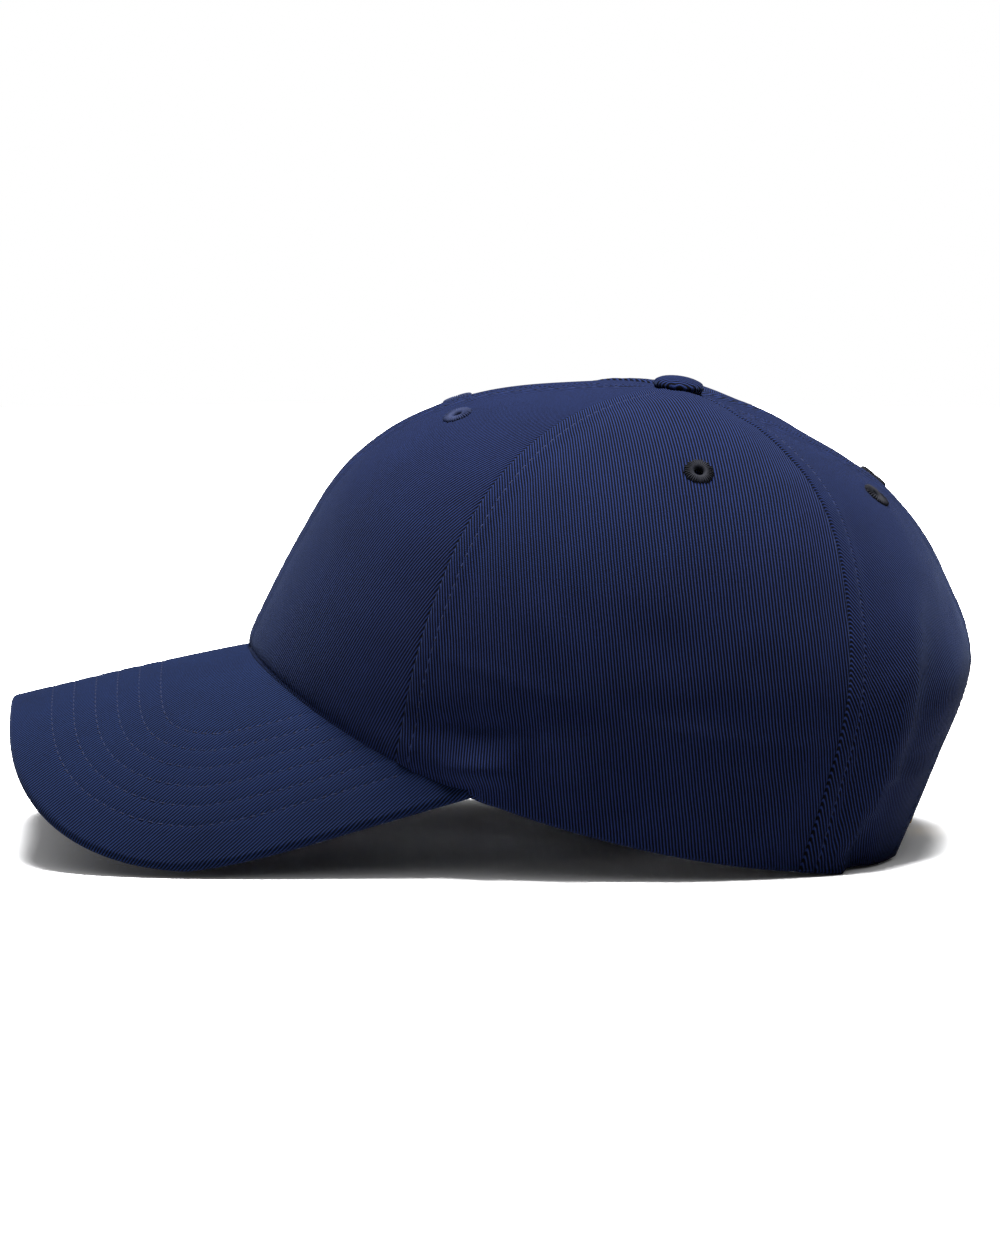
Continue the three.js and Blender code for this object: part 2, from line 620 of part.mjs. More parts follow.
const wallOuter = CLASP_WALL + CLASP_METAL;
let claspFrame = toSolid(box(
  [-CLASP_HALF_LENGTH, -wallOuter, CLASP_FLOOR - CLASP_METAL],
  [CLASP_HALF_LENGTH, wallOuter, CLASP_FLOOR]));
for (const sign of [1, -1]) {
  const [low, high] = [sign * CLASP_WALL, sign * wallOuter].sort((a, b) => a - b);
  claspFrame = claspFrame
    .add(toSolid(box([-CLASP_HALF_LENGTH, low, CLASP_FLOOR - CLASP_METAL],
      [CLASP_HALF_LENGTH, high, CLASP_TOP])))
    .add(toSolid(box([CLASP_HALF_LENGTH - OVERRUN, low, TAB_BAR_OUT - TAB_BAR_RADIUS],
      [TAB_BAR_ALONG + TAB_BAR_RADIUS, high, CLASP_FLOOR])));
}
claspFrame = claspFrame
  .add(toSolid(crossBar(TAB_BAR_ALONG, TAB_BAR_OUT, TAB_BAR_RADIUS, wallOuter - 0.2, 12)))
  .subtract(toSolid(crossBar(PIN_ALONG, PIN_OUT, PIN_RADIUS + GAP, wallOuter + OVERRUN, 12)));
add(clasp, "clasp_frame", toGeometry(claspFrame), brass);
add(clasp, "clasp_pin", crossBar(PIN_ALONG, PIN_OUT, PIN_RADIUS, wallOuter + PIN_HEAD, 12), brass);

const leverPlate = box(
  [-CLASP_HALF_LENGTH - LEVER_LIP, -LEVER_HALF_WIDTH, PIN_OUT - 0.2],
  [PIN_ALONG, LEVER_HALF_WIDTH, PIN_OUT + LEVER_BARREL]);
const lever = toSolid(leverPlate)
  .add(toSolid(crossBar(PIN_ALONG, PIN_OUT, LEVER_BARREL, LEVER_HALF_WIDTH, 16)))
  .subtract(toSolid(crossBar(PIN_ALONG, PIN_OUT, PIN_RADIUS + GAP, LEVER_HALF_WIDTH + OVERRUN, 16)));
add(clasp, "clasp_lever", toGeometry(lever), brass);

// Tab that holds the clasp: a loop round its bar, then a strip into the right-hand pocket
const loopOuter = TAB_BAR_RADIUS + GAP + TAB_THICKNESS;
const tabStrip = bandGeometry(
  TAB_END, CLASP_ANGLE - TAB_BAR_ALONG / STRAP_RADIUS, 6,
  STRAP_THICKNESS / 2 - (TAB_BAR_OUT + loopOuter), TAB_THICKNESS);
const tabLoop = toSolid(crossBar(TAB_BAR_ALONG, TAB_BAR_OUT, loopOuter, STRAP_RISE / 2, 16))
  .subtract(toSolid(crossBar(TAB_BAR_ALONG, TAB_BAR_OUT, loopOuter - TAB_THICKNESS, STRAP_RISE, 16)));
const tabLoopGeometry = toGeometry(tabLoop).applyMatrix4(clasp.matrix);
const tabBore = crossBar(TAB_BAR_ALONG, TAB_BAR_OUT, loopOuter - TAB_THICKNESS, STRAP_RISE, 16)
  .applyMatrix4(clasp.matrix);
add(cap, "clasp_tab",
  toGeometry(toSolid(tabLoopGeometry).add(toSolid(tabStrip).subtract(toSolid(tabBore)))), twill);

export default cap;
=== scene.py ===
import math

import bmesh
import bpy
import numpy as np
from mathutils import Matrix, Vector


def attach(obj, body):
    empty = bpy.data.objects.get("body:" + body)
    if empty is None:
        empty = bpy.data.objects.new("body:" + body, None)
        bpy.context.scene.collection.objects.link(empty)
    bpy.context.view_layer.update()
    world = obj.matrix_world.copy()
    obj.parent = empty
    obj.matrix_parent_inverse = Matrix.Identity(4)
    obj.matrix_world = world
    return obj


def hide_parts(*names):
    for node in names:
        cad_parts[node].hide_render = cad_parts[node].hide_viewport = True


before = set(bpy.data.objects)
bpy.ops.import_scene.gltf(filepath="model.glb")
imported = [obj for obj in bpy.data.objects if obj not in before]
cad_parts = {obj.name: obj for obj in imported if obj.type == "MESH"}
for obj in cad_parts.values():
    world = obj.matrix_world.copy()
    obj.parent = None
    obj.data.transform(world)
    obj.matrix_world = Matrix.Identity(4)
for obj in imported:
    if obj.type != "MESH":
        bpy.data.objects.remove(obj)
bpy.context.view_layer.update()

# The looks of a six-panel baseball cap. Shapes are worked out in millimetres, in the part's frame: the visor
# points along -Y, the wearer's left is +X and +Z is up. mesh_object() turns millimetres into metres. Camera,
# floor, lights and the depth of bumps in materials are in metres.
MM = 0.001
NARROW_TRIM = 0.01  # metres; narrower strips are trim, not sheets

# Crown: three meridians at eight levels, as (distance out from the crown's centre, height)
CROWN_CENTRE_Y = 24.82
CROWN_HALF_WIDTH = 84.0
CROWN_HALF_LENGTH = 95.6
APEX_Y = 30.0
APEX_Z = 130.9
FRONT_MERIDIAN = [
    (-APEX_Y, APEX_Z), (0, 131), (27.3, 128.6), (50.5, 120.1), (67.4, 106.4), (79.4, 87.6), (88.2, 70.8),
    (CROWN_HALF_LENGTH, 55.6)]
SIDE_MERIDIAN = [
    (0, APEX_Z), (24, 130), (46, 122.5), (64, 108), (76.5, 88), (84, 63), (86, 40), (CROWN_HALF_WIDTH, 17)]
BACK_MERIDIAN = [
    (APEX_Y, APEX_Z), (47.4, 123.6), (69.8, 113.6), (91.3, 99.4), (106, 78.2), (114.5, 52), (106.5, 27),
    (CROWN_HALF_LENGTH, 0)]
LEVEL_CENTRES = [(APEX_Y,), (27,), (23,), (18,), (13,), (8,), (4,), (0,)]
BACK_SQUARENESS = 3.0  # exponent of the back's outline at the bottom edge; 2 is an ellipse
FRONT_SEAM = math.radians(53.5)
BACK_SEAM_TOP = math.radians(142)
BACK_SEAM_BOTTOM = math.radians(130.5)
PANEL_TOP = 0.03  # share of the way from the button's centre to the edge at which a panel begins
AXIS_MARGIN = 1e-3
PANEL_THICKNESS = 1.0
EDGE_FLAT_ANGLE = math.radians(140)
EDGE_DROP_EASE = 1.5

# Visor
VISOR_CORNER_Y = -31.0
VISOR_HALF_WIDTH = 79.5
VISOR_LENGTH = 133.0
VISOR_SQUARENESS = 4.6
VISOR_ROOT_Y = -98.0
VISOR_ROOT_Z = 54.7
VISOR_CLEARANCE = 0.2
VISOR_SLOPE = 0.2
VISOR_DROOP = 0.0004
VISOR_BEND_FRONT = 85.16
VISOR_BEND_BACK = 93.0
VISOR_BEND_FRONT_Y = -112.0
VISOR_THICKNESS = 4.0
VISOR_CORNER_ANGLE = math.atan2(VISOR_HALF_WIDTH, -VISOR_CORNER_Y)
VISOR_STITCH_ROWS = [12.7 + 6.3 * k for k in range(6)]  # distances from the visor's edge

# Trim
SEAM_STITCH_INSET = 4.5
SWEATBAND_TOP = 0.79
SWEATBAND_DEPTH = 2.6
SWEATBAND_BACK_DEPTH = 7.4
SWEATBAND_THICKNESS = 1.3
LINING_DEPTH = 1.4
LINING_THICKNESS = 0.7
SEAM_TAPE_WIDTH = 12.0
ARCH_HALF_WIDTH = 39.0
ARCH_HEIGHT = 44.0
ARCH_BINDING_WIDTH = 7.0
EYELETS = {"front": (18.5, 0.345), "side": (105, 0.365), "back": (163, 0.41)}
EYELET_RADIUS = 4.3
BUTTON_RADIUS = 7.25
BUTTON_HEIGHT = 2.8
BUTTON_TILT = math.radians(8)
BUTTON_LIFT = 0.4

# Strap and clasp
STRAP_RADIUS = 150.0
STRAP_AXIS_Y = CROWN_CENTRE_Y + CROWN_HALF_LENGTH - SWEATBAND_DEPTH - STRAP_RADIUS
STRAP_LEAN = math.atan(0.35)
STRAP_BOTTOM = 4.0
STRAP_RISE = 18.0
STRAP_THICKNESS = 1.6
STRAP_SEWN_END = math.radians(20.7)
STRAP_FREE_END = math.radians(-17.2)
CLASP_ANGLE = math.radians(-6)

SIDES = {"left": 1, "right": -1}


# ---- the crown's and the visor's surfaces ----

def spline(points, share):
    """A smooth curve through a list of points, read at shares from 0 to 1."""
    points = np.asarray(points, float)
    last = len(points) - 1
    padded = np.vstack([2 * points[0] - points[1], points, 2 * points[-1] - points[-2]])
    place = np.clip(share, 0, 1) * last
    index = np.minimum(place.astype(int), last - 1)
    weight = (place - index)[..., None]
    a, b, c, d = (padded[index + k] for k in range(4))
    slope_in = (c - a) / 2
    slope_out = (d - b) / 2
    cubic = 2 * b - 2 * c + slope_in + slope_out
    square = -3 * b + 3 * c - 2 * slope_in - slope_out
    return ((cubic * weight + square) * weight + slope_in) * weight + b


def superellipse_radius(angle, half_width, half_length, exponent):
    across = np.abs(np.sin(angle) / half_width) ** exponent
    along = np.abs(np.cos(angle) / half_length) ** exponent
    return (across + along) ** (-1 / exponent)


def visor_bend(y):
    """Radius across the visor; y is measured from the crown's centre."""
    back = np.clip((y - VISOR_BEND_FRONT_Y) / (VISOR_CORNER_Y - VISOR_BEND_FRONT_Y), 0, 1)
    return VISOR_BEND_FRONT + (VISOR_BEND_BACK - VISOR_BEND_FRONT) * back


def visor_height(x, y):
    forward = np.maximum(0, VISOR_ROOT_Y - y)
    ridge = VISOR_ROOT_Z + VISOR_SLOPE * (y - VISOR_ROOT_Y) - VISOR_DROOP * forward ** 2
    bend = visor_bend(y)
    return ridge - bend + np.sqrt(bend ** 2 - x ** 2)


def edge_height(angle):
    """Height of the crown's bottom edge."""
    wrapped = np.abs(angle)
    turn = np.minimum(wrapped, 2 * math.pi - wrapped)
    held = np.minimum(turn, VISOR_CORNER_ANGLE)
    radius = superellipse_radius(held, CROWN_HALF_WIDTH, CROWN_HALF_LENGTH, 2)
    on_visor = visor_height(radius * np.sin(held), -radius * np.cos(held)) + VISOR_CLEARANCE
    left = np.clip((EDGE_FLAT_ANGLE - turn) / (EDGE_FLAT_ANGLE - VISOR_CORNER_ANGLE), 0, 1)
    return np.where(turn <= VISOR_CORNER_ANGLE, on_visor, on_visor * left ** EDGE_DROP_EASE)


def crown_base(angle, share):
    """The smooth outer face; angle runs from the front to the wearer's left, share from button to edge."""
    angle, share = np.broadcast_arrays(np.asarray(angle, float), np.asarray(share, float))
    sine, cosine = np.sin(angle), np.cos(angle)
    centre = spline(LEVEL_CENTRES, share)[..., 0]
    half_width, side_height = np.moveaxis(spline(SIDE_MERIDIAN, share), -1, 0)
    front_reach, front_height = np.moveaxis(spline(FRONT_MERIDIAN, share), -1, 0)
    back_reach, back_height = np.moveaxis(spline(BACK_MERIDIAN, share), -1, 0)
    to_front = cosine > 0
    half_length = np.where(to_front, front_reach + centre, back_reach - centre)
    half_width = np.maximum(half_width, AXIS_MARGIN)
    squareness = np.where(to_front, 2, 2 + (BACK_SQUARENESS - 2) * share)
    radius = superellipse_radius(angle, half_width, np.maximum(half_length, AXIS_MARGIN), squareness)

    def drop(height, meridian):
        return (APEX_Z - height) / (APEX_Z - meridian[-1][1])

    end_drop = np.where(to_front, drop(front_height, FRONT_MERIDIAN), drop(back_height, BACK_MERIDIAN))
    fall = cosine ** 2 * end_drop + sine ** 2 * drop(side_height, SIDE_MERIDIAN)
    return np.stack([
        radius * sine,
        CROWN_CENTRE_Y + centre - radius * cosine,
        APEX_Z - fall * (APEX_Z - edge_height(angle)),
    ], -1)


def ramp(value, length):
    """From 0 to 1 as the value goes from 0 to this length."""
    return np.clip(value / length, 0, 1)


def hump(value, width):
    """1 where the value is 0, and next to nothing two widths away."""
    return np.exp(-((value / width) ** 2))


def smooth(x):
    x = np.clip(x, 0, 1)
    return x * x * (3 - 2 * x)


def unit(vectors):
    return vectors / np.maximum(np.linalg.norm(vectors, axis=-1, keepdims=True), 1e-9)


def crown_normal(angle, share):
    step = 0.004
    inner = np.clip(share, 2 * step, 1 - 2 * step)
    around = crown_base(angle + step, inner) - crown_base(angle - step, inner)
    down = crown_base(angle, inner + step) - crown_base(angle, inner - step)
    return unit(np.cross(down, around))


def ripple(p, length, phase):
    """Smooth noise from a few crossed waves, about -1 to 1, with features about this many millimetres long.

    The waves' directions and lengths differ by uneven ratios, so that they don't line up.
    """
    k = 2 * math.pi / length
    total = 0
    for n in range(5):
        turn = 1.7 * n + phase
        direction = np.array([math.cos(turn), math.sin(1.3 * turn), math.sin(turn + 0.8)])
        total = total + np.sin(k * (1 + 0.23 * n) * (p @ direction) + 2.1 * phase * (n + 1))
    return total / 3


def bump_at(along, height, place, size, amount):
    """A round swelling or hollow on the side of the crown, in side view."""
    return amount * np.exp(
        -(((along - place[0]) / size[0]) ** 2) - ((height - place[1]) / size[1]) ** 2)


# Soft folds in the cloth, in side view. The right side has the left side's, weaker and further forward.
RIGHT_STRENGTH = 0.8
RIGHT_SHIFT = 5.0
STIFF_FRONT = 0.8  # radians to either side of the front within which the stiffener keeps the cloth smooth
BROAD_FOLDS = 0.35
BROAD_FOLDS_START = 0.35  # share of the way down at which they set in
SMALL_FOLDS = 0.12
UNEVENNESS = 0.06
# the hollows and swellings behind the visor's corner: (place along, height), (reach along, in height), amount
DENTS = [
    ((-28, 31), (9, 4.0), 3.6), ((-27, 42.5), (20, 4.5), -2.4), ((-14, 32), (3, 8), -2.0),
    ((-2, 27), (8, 6), 1.4), ((14, 21), (9, 5), -0.9), ((30, 17), (11, 5), 0.9), ((8, 47), (45, 5), -0.7)]
BAND_LINE = 35.0  # how far above the edge the top of the sweatband shows through the sides
BAND_LINE_WIDTH = 2.2
BAND_LINE_HEIGHT = 0.28
BAND_LINE_START = 0.95  # radians from the front
BAND_LINE_END = 2.3
# the crease behind the back side seam, where the strap draws the back together: (place along, height)
CREASE = [(98, 74), (97.7, 58), (94.2, 41), (89.9, 26), (84, 17), (75.4, 5)]
CREASE_HEIGHT = 2.6
CREASE_WIDTH_AHEAD = 6.5
CREASE_WIDTH_BEHIND = 1.8
CREASE_TOP = 80
CREASE_HOLLOW = 2.0
CREASE_HOLLOW_PLACE = 6
CREASE_HOLLOW_WIDTH = 5.0
STRAP_END_TOP = 30  # nothing sinks in below this height and behind this place, where the strap's ends slide
STRAP_END_START = 80


def crown_relief(angle, share):
    """How far the cloth stands out from the smooth crown: soft folds where nothing stiffens it."""
    p = crown_base(angle, share)
    along = p[..., 1] - CROWN_CENTRE_Y
    height = p[..., 2]
    turn = np.abs(np.mod(angle + math.pi, 2 * math.pi) - math.pi)
    on_left = p[..., 0] >= 0
    strength = np.where(on_left, 1.0, RIGHT_STRENGTH)
    shift = np.where(on_left, 0.0, RIGHT_SHIFT)
    soft = ramp(turn - STIFF_FRONT, 0.35)
    low = ramp(share - BROAD_FOLDS_START, 0.5)
    relief = BROAD_FOLDS * soft * low * ripple(p, 62, 0.6) + SMALL_FOLDS * soft * ripple(p, 24, 1.9)
    relief = relief + UNEVENNESS * ripple(p, 30, 3.0)
    relief = relief + strength * sum(bump_at(along + shift, height, *dent) for dent in DENTS)
    band = hump(height - edge_height(angle) - BAND_LINE, BAND_LINE_WIDTH) * ramp(turn - BAND_LINE_START, 0.2)
    relief = relief + BAND_LINE_HEIGHT * band * (1 - ramp(turn - BAND_LINE_END, 0.2))
    crease = np.array(CREASE, float)
    beyond = along - np.interp(height, crease[::-1, 1], crease[::-1, 0]) - shift * 0.5
    ridge = np.where(beyond < 0, hump(beyond, CREASE_WIDTH_AHEAD), hump(beyond, CREASE_WIDTH_BEHIND))
    lowness = ramp(CREASE_TOP - height, 25) * (turn > math.pi / 2)
    relief = relief + CREASE_HEIGHT * strength * ridge * lowness
    hollow = hump(beyond - CREASE_HOLLOW_PLACE, CREASE_HOLLOW_WIDTH) * lowness
    relief = relief - CREASE_HOLLOW * strength * hollow
    over_strap = ramp(STRAP_END_TOP - height, 5) * ramp(along - STRAP_END_START, 6)
    return relief + over_strap * (np.maximum(relief, 0) - relief)


def crown_layer(angle, share, depth):
    """A point this far inside the crown's outer face, folds included."""
    lift = crown_relief(angle, share) - depth
    return crown_base(angle, share) + crown_normal(angle, share) * np.asarray(lift)[..., None]


def speed_around(angle, share):
    """Millimetres per radian round the crown."""
    step = 0.01
    ahead, behind = crown_base(angle + step, share), crown_base(angle - step, share)
    return np.linalg.norm(ahead - behind, axis=-1) / (2 * step)


def constant_angle(angle):
    """A seam that keeps one angle at every share."""
    return lambda share: 0 * share + angle


def back_seam(share):
    return BACK_SEAM_TOP + (BACK_SEAM_BOTTOM - BACK_SEAM_TOP) * np.asarray(share, float)


# ---- meshes ----

def mesh_object(name, points, faces, material, slot, body="root", uv=None):
    """A closed mesh from millimetre points; uv gives each point's place on the flat cloth, in millimetres."""
    mesh = bpy.data.meshes.new(name)
    mesh.from_pydata((np.asarray(points, float).reshape(-1, 3) * MM).tolist(), [], faces)
    work = bmesh.new()
    work.from_mesh(mesh)
    bmesh.ops.recalc_face_normals(work, faces=work.faces)
    work.to_mesh(mesh)
    work.free()
    if uv is not None:
        layer = mesh.uv_layers.new(name="weave")
        corners = np.zeros(len(mesh.loops), np.int64)
        mesh.loops.foreach_get("vertex_index", corners)
        layer.data.foreach_set("uv", np.asarray(uv, float).reshape(-1, 2)[corners].ravel())
    mesh.polygons.foreach_set("use_smooth", [True] * len(mesh.polygons))
    mesh.materials.append(material)
    mesh.update()
    made = bpy.data.objects.new(name, mesh)
    bpy.context.collection.objects.link(made)
    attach(made, body)
    return made


def rotated(uv, degrees):
    turn = math.radians(degrees)
    matrix = np.array([[math.cos(turn), math.sin(turn)], [-math.sin(turn), math.cos(turn)]])
    return np.asarray(uv) @ matrix


def lengths(points, axis):
    """Length along each line of a grid of points."""
    total = np.cumsum(np.linalg.norm(np.diff(points, axis=axis), axis=-1), axis=axis)
    pad = [(0, 0)] * total.ndim
    pad[axis] = (1, 0)
    return np.pad(total, pad)


def flat_places(outer):
    """Each grid point's place on the flat cloth: across from the middle column, and down."""
    across = lengths(outer, 1)
    across = across - across[:, outer.shape[1] // 2][:, None]
    return np.stack([across, lengths(outer, 0)], -1)


def flat_size(outer):
    """Width, length and area of the cloth that a grid of points needs, in metres."""
    width = lengths(outer, 1)[:, -1].max()
    length = lengths(outer, 0)[-1].max()
    across = np.cross(outer[1:, 1:] - outer[:-1, :-1], outer[1:, :-1] - outer[:-1, 1:])
    area = np.linalg.norm(across, axis=-1).sum() / 2
    return (width * MM, length * MM), min(area, width * length) * MM * MM


def cloth(name, node, outer, inner, material, slot, rim=(), uv=None, turn=0, holes=(), body="root",
          sheet=True):
    """Cloth with real thickness between two grids of points, rows by columns; it replaces a CAD node.

    rim holds an even number of extra rows that round its last edge; holes are (centre, radius).
    """
    rows, columns = outer.shape[:2]
    ring = 2 * rows + len(rim)
    uv = flat_places(outer) if uv is None else uv
    uv = rotated(uv, turn)
    rim = np.array(rim, float).reshape(-1, columns, 3)
    points = np.concatenate([outer, rim, inner[::-1]]).transpose(1, 0, 2)
    edge_uv = np.repeat(uv[-1:], len(rim), 0)
    uv = np.concatenate([uv, edge_uv, uv[::-1]]).transpose(1, 0, 2)
    middle = (outer[:-1, :-1] + outer[1:, 1:]) / 2
    hole = np.zeros(middle.shape[:2], bool)
    for centre, radius in holes:
        hole |= np.linalg.norm(middle - centre, axis=-1) < radius

    def at(column, place):
        return column * ring + place % ring

    faces = []
    for i in range(columns - 1):
        for k in range(ring):
            cell = k if k < rows - 1 else ring - 2 - k
            if 0 <= cell < rows - 1 and hole[cell, i]:
                continue
            faces.append((at(i, k), at(i + 1, k), at(i + 1, k + 1), at(i, k + 1)))
    for column in (0, columns - 1):
        for k in range(ring // 2 - 1):
            far_side = at(column, ring - 2 - k), at(column, ring - 1 - k)
            faces.append((at(column, k), at(column, k + 1), *far_side))
    for cell, i in zip(*np.nonzero(hole)):
        sides = {(0, -1): ((i, cell), (i, cell + 1)), (0, 1): ((i + 1, cell), (i + 1, cell + 1)),
                 (-1, 0): ((i, cell), (i + 1, cell)), (1, 0): ((i, cell + 1), (i + 1, cell + 1))}
        for (down, across), ((a, j), (b, k)) in sides.items():
            if not hole[cell + down, i + across]:
                faces.append((at(a, j), at(b, k), at(b, ring - 1 - k), at(a, ring - 1 - j)))
    piece = mesh_object(name, points, faces, material, slot, body, uv)
    flat, area = flat_size(outer)
    sheet and min(flat) > NARROW_TRIM
    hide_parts(node)


def edged(count, margin):
    """Even steps from 0 to 1, with one more close to each end to keep the edge crisp."""
    return np.concatenate([[0], np.linspace(margin, 1 - margin, count), [1]])


EDGE_ROUNDING = 0.42  # share of its thickness by which each face sinks in at a layer's edge


def layer(name, node, face, across, down, depth, thickness, material, slot, **options):
    """A cloth layer on a surface given as face(across, down, depth)."""
    v, u = np.meshgrid(down, across, indexing="ij")
    edge = np.zeros(u.shape)
    edge[[0, -1], :] = 1
    edge[:, [0, -1]] = 1
    sink = EDGE_ROUNDING * thickness * edge
    outer, inner = face(u, v, depth + sink), face(u, v, depth + thickness - sink)
    cloth(name, node, outer, inner, material, slot, **options)


STITCH_RINGS = [(-1.0, 0.2, -0.7), (-0.75, 0.8, 0.0), (-0.25, 1.0, 0.4), (0.25, 1.0, 0.4), (0.75, 0.8, 0.0),
                (1.0, 0.2, -0.7)]  # (place along, width, lift) as shares of half its length and its radius
STITCH_SIDES = 6
STITCH_RADIUS = 0.21
STITCH_FLATNESS = 0.8
STITCH_ARCH = 0.6  # how far its middle stands out, as a share of its radius
STITCH_LIFT = -0.02
STITCH_ASKEW = 0.08


def stitches(name, paths, material, body="root", pitch=3.2, length=2.3):
    """Every stitch of these rows as a small bent capsule; a path is (points, outward directions)."""
    points, faces = [], []
    sides = 2 * math.pi * np.arange(STITCH_SIDES) / STITCH_SIDES
    for path, outs in paths:
        along = lengths(path, 0)
        count = max(2, int(along[-1] / pitch))
        places = (np.arange(count) + 0.5) * along[-1] / count
        step = 0.2 * length
        read = [[np.interp(places + shift, along, values[:, k]) for k in range(3)]
                for values, shift in ((path, 0), (path, step), (path, -step), (outs, 0))]
        centres, ahead, behind, outward = (np.stack(values, -1) for values in read)
        forward = unit(ahead - behind)
        outward = unit(outward - forward * (outward * forward).sum(-1, keepdims=True))
        across = np.cross(outward, forward)
        forward = unit(forward + across * STITCH_ASKEW * np.sin(np.arange(count) * 2.4)[:, None])
        for centre, f, o, a in zip(centres, forward, outward, across):
            start = len(points)
            for place, width, lift in STITCH_RINGS:
                rise = STITCH_LIFT + lift * STITCH_RADIUS * STITCH_ARCH
                middle = centre + f * (place * length / 2) + o * rise
                for turn in sides:
                    side_step = math.cos(turn) * a + STITCH_FLATNESS * math.sin(turn) * o
                    points.append(middle + STITCH_RADIUS * width * side_step)
            last = start + (len(STITCH_RINGS) - 1) * STITCH_SIDES
            for ring in range(start, last, STITCH_SIDES):
                for s in range(STITCH_SIDES):
                    t = (s + 1) % STITCH_SIDES
                    faces.append((ring + s, ring + t, ring + STITCH_SIDES + t, ring + STITCH_SIDES + s))
            faces.append(tuple(range(start, start + STITCH_SIDES)))
            faces.append(tuple(range(last, last + STITCH_SIDES)))
    mesh_object(name, points, faces, material, "eyelet_thread", body)


def turned(name, node, profile, place, material, slot, segments, wave):
    """A solid of revolution about a placed Z axis, made uneven by wave(turn, radius, height).

    The profile closes on itself.
    """
    profile = np.array(profile, float)
    turn = 2 * math.pi * np.arange(segments)[:, None] / segments
    radius, height = wave(turn, profile[None, :, 0], profile[None, :, 1])
    local = np.stack(np.broadcast_arrays(radius * np.cos(turn), radius * np.sin(turn), height), -1)
    ring = len(profile)
    faces = []
    for i in range(segments):
        n = (i + 1) % segments
        for k in range(ring):
            m = (k + 1) % ring
            faces.append((i * ring + k, n * ring + k, n * ring + m, i * ring + m))
    points = local.reshape(-1, 3) @ place[:3, :3].T + place[:3, 3]
    piece = mesh_object(name, points, faces, material, slot, uv=local.reshape(-1, 3)[:, :2])
    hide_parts(node)


# ---- materials ----

class Nodes:
    """A short way to write the nodes of a material or of the world."""

    def __init__(self, owner):
        owner.use_nodes = True
        self.tree = owner.node_tree

    def add(self, kind, *links, **settings):
        """A new node; links are (output, input) pairs, and settings are its inputs or its own values."""
        node = self.tree.nodes.new(kind)
        for key, value in settings.items():
            if key in node.inputs.keys():
                node.inputs[key].default_value = value
            else:
                setattr(node, key, value)
        for output, socket in links:
            self.tree.links.new(output, node.inputs[socket])
        return node

    def noise(self, place, scale, detail, roughness=0.5):
        return self.add("ShaderNodeTexNoise", (place, "Vector"), Scale=scale, Detail=detail,
                        Roughness=roughness).outputs["Fac"]

    def math(self, operation, *values):
        node = self.add("ShaderNodeMath", operation=operation)
        for socket, value in zip(node.inputs, values):
            if hasattr(value, "default_value"):
                self.tree.links.new(value, socket)
            else:
                socket.default_value = value
        return node.outputs[0]

    def wave(self, angle):
        """A wave from 0 to 1."""
        return self.math("MULTIPLY_ADD", self.math("SINE", angle), 0.5, 0.5)

    def mix(self, factor, dark, light):
        node = self.add("ShaderNodeMix", (factor, "Factor"), data_type="RGBA")
        node.inputs["A"].default_value = (*dark, 1)
        node.inputs["B"].default_value = (*light, 1)
        return node.outputs["Result"]

    def bump(self, height, distance, strength, *before):
        links = [(height, "Height")] + [(normal, "Normal") for normal in before]
        return self.add("ShaderNodeBump", *links, Distance=distance, Strength=strength).outputs["Normal"]

    def flat_place(self):
        """The place on the flat cloth, in millimetres, whole and as its two parts."""
        place = self.add("ShaderNodeUVMap", uv_map="weave").outputs["UV"]
        parts = self.add("ShaderNodeSeparateXYZ", (place, 0))
        return place, parts.outputs["X"], parts.outputs["Y"]

    def object_place(self):
        return self.add("ShaderNodeTexCoord").outputs["Object"]


def finished(name, make, *values):
    """A material from make(nodes, *values), which gives its linked inputs and its plain values by name."""
    material = bpy.data.materials.new(name)
    nodes = Nodes(material)
    shader = nodes.tree.nodes["Principled BSDF"]
    linked, plain = make(nodes, *values)
    for key, output in linked.items():
        nodes.tree.links.new(output, shader.inputs[key.replace("_", " ")])
    for key, value in plain.items():
        shader.inputs[key.replace("_", " ")].default_value = value
    return material


RIB_PITCH = 0.87  # millimetres between two ribs of the twill
YARN_PITCH = 0.5
RIB_WANDER = 2.2  # radians by which a rib strays over some centimetres
RIB_FRAY = 1.6  # radians by which single fibres break its outline
RIB_SHARPNESS = 2.0
RIB_TONE = 1.75  # how much of the colour's range the ribs, the fibres and the clouds each take
FIBRE_TONE = 0.6
CLOUD_TONE = 0.6
TONE_SHIFT = 0.82
RIB_BUMP = 0.00014
FIBRE_BUMP = 0.00005
GRAIN_BUMP = 0.00005


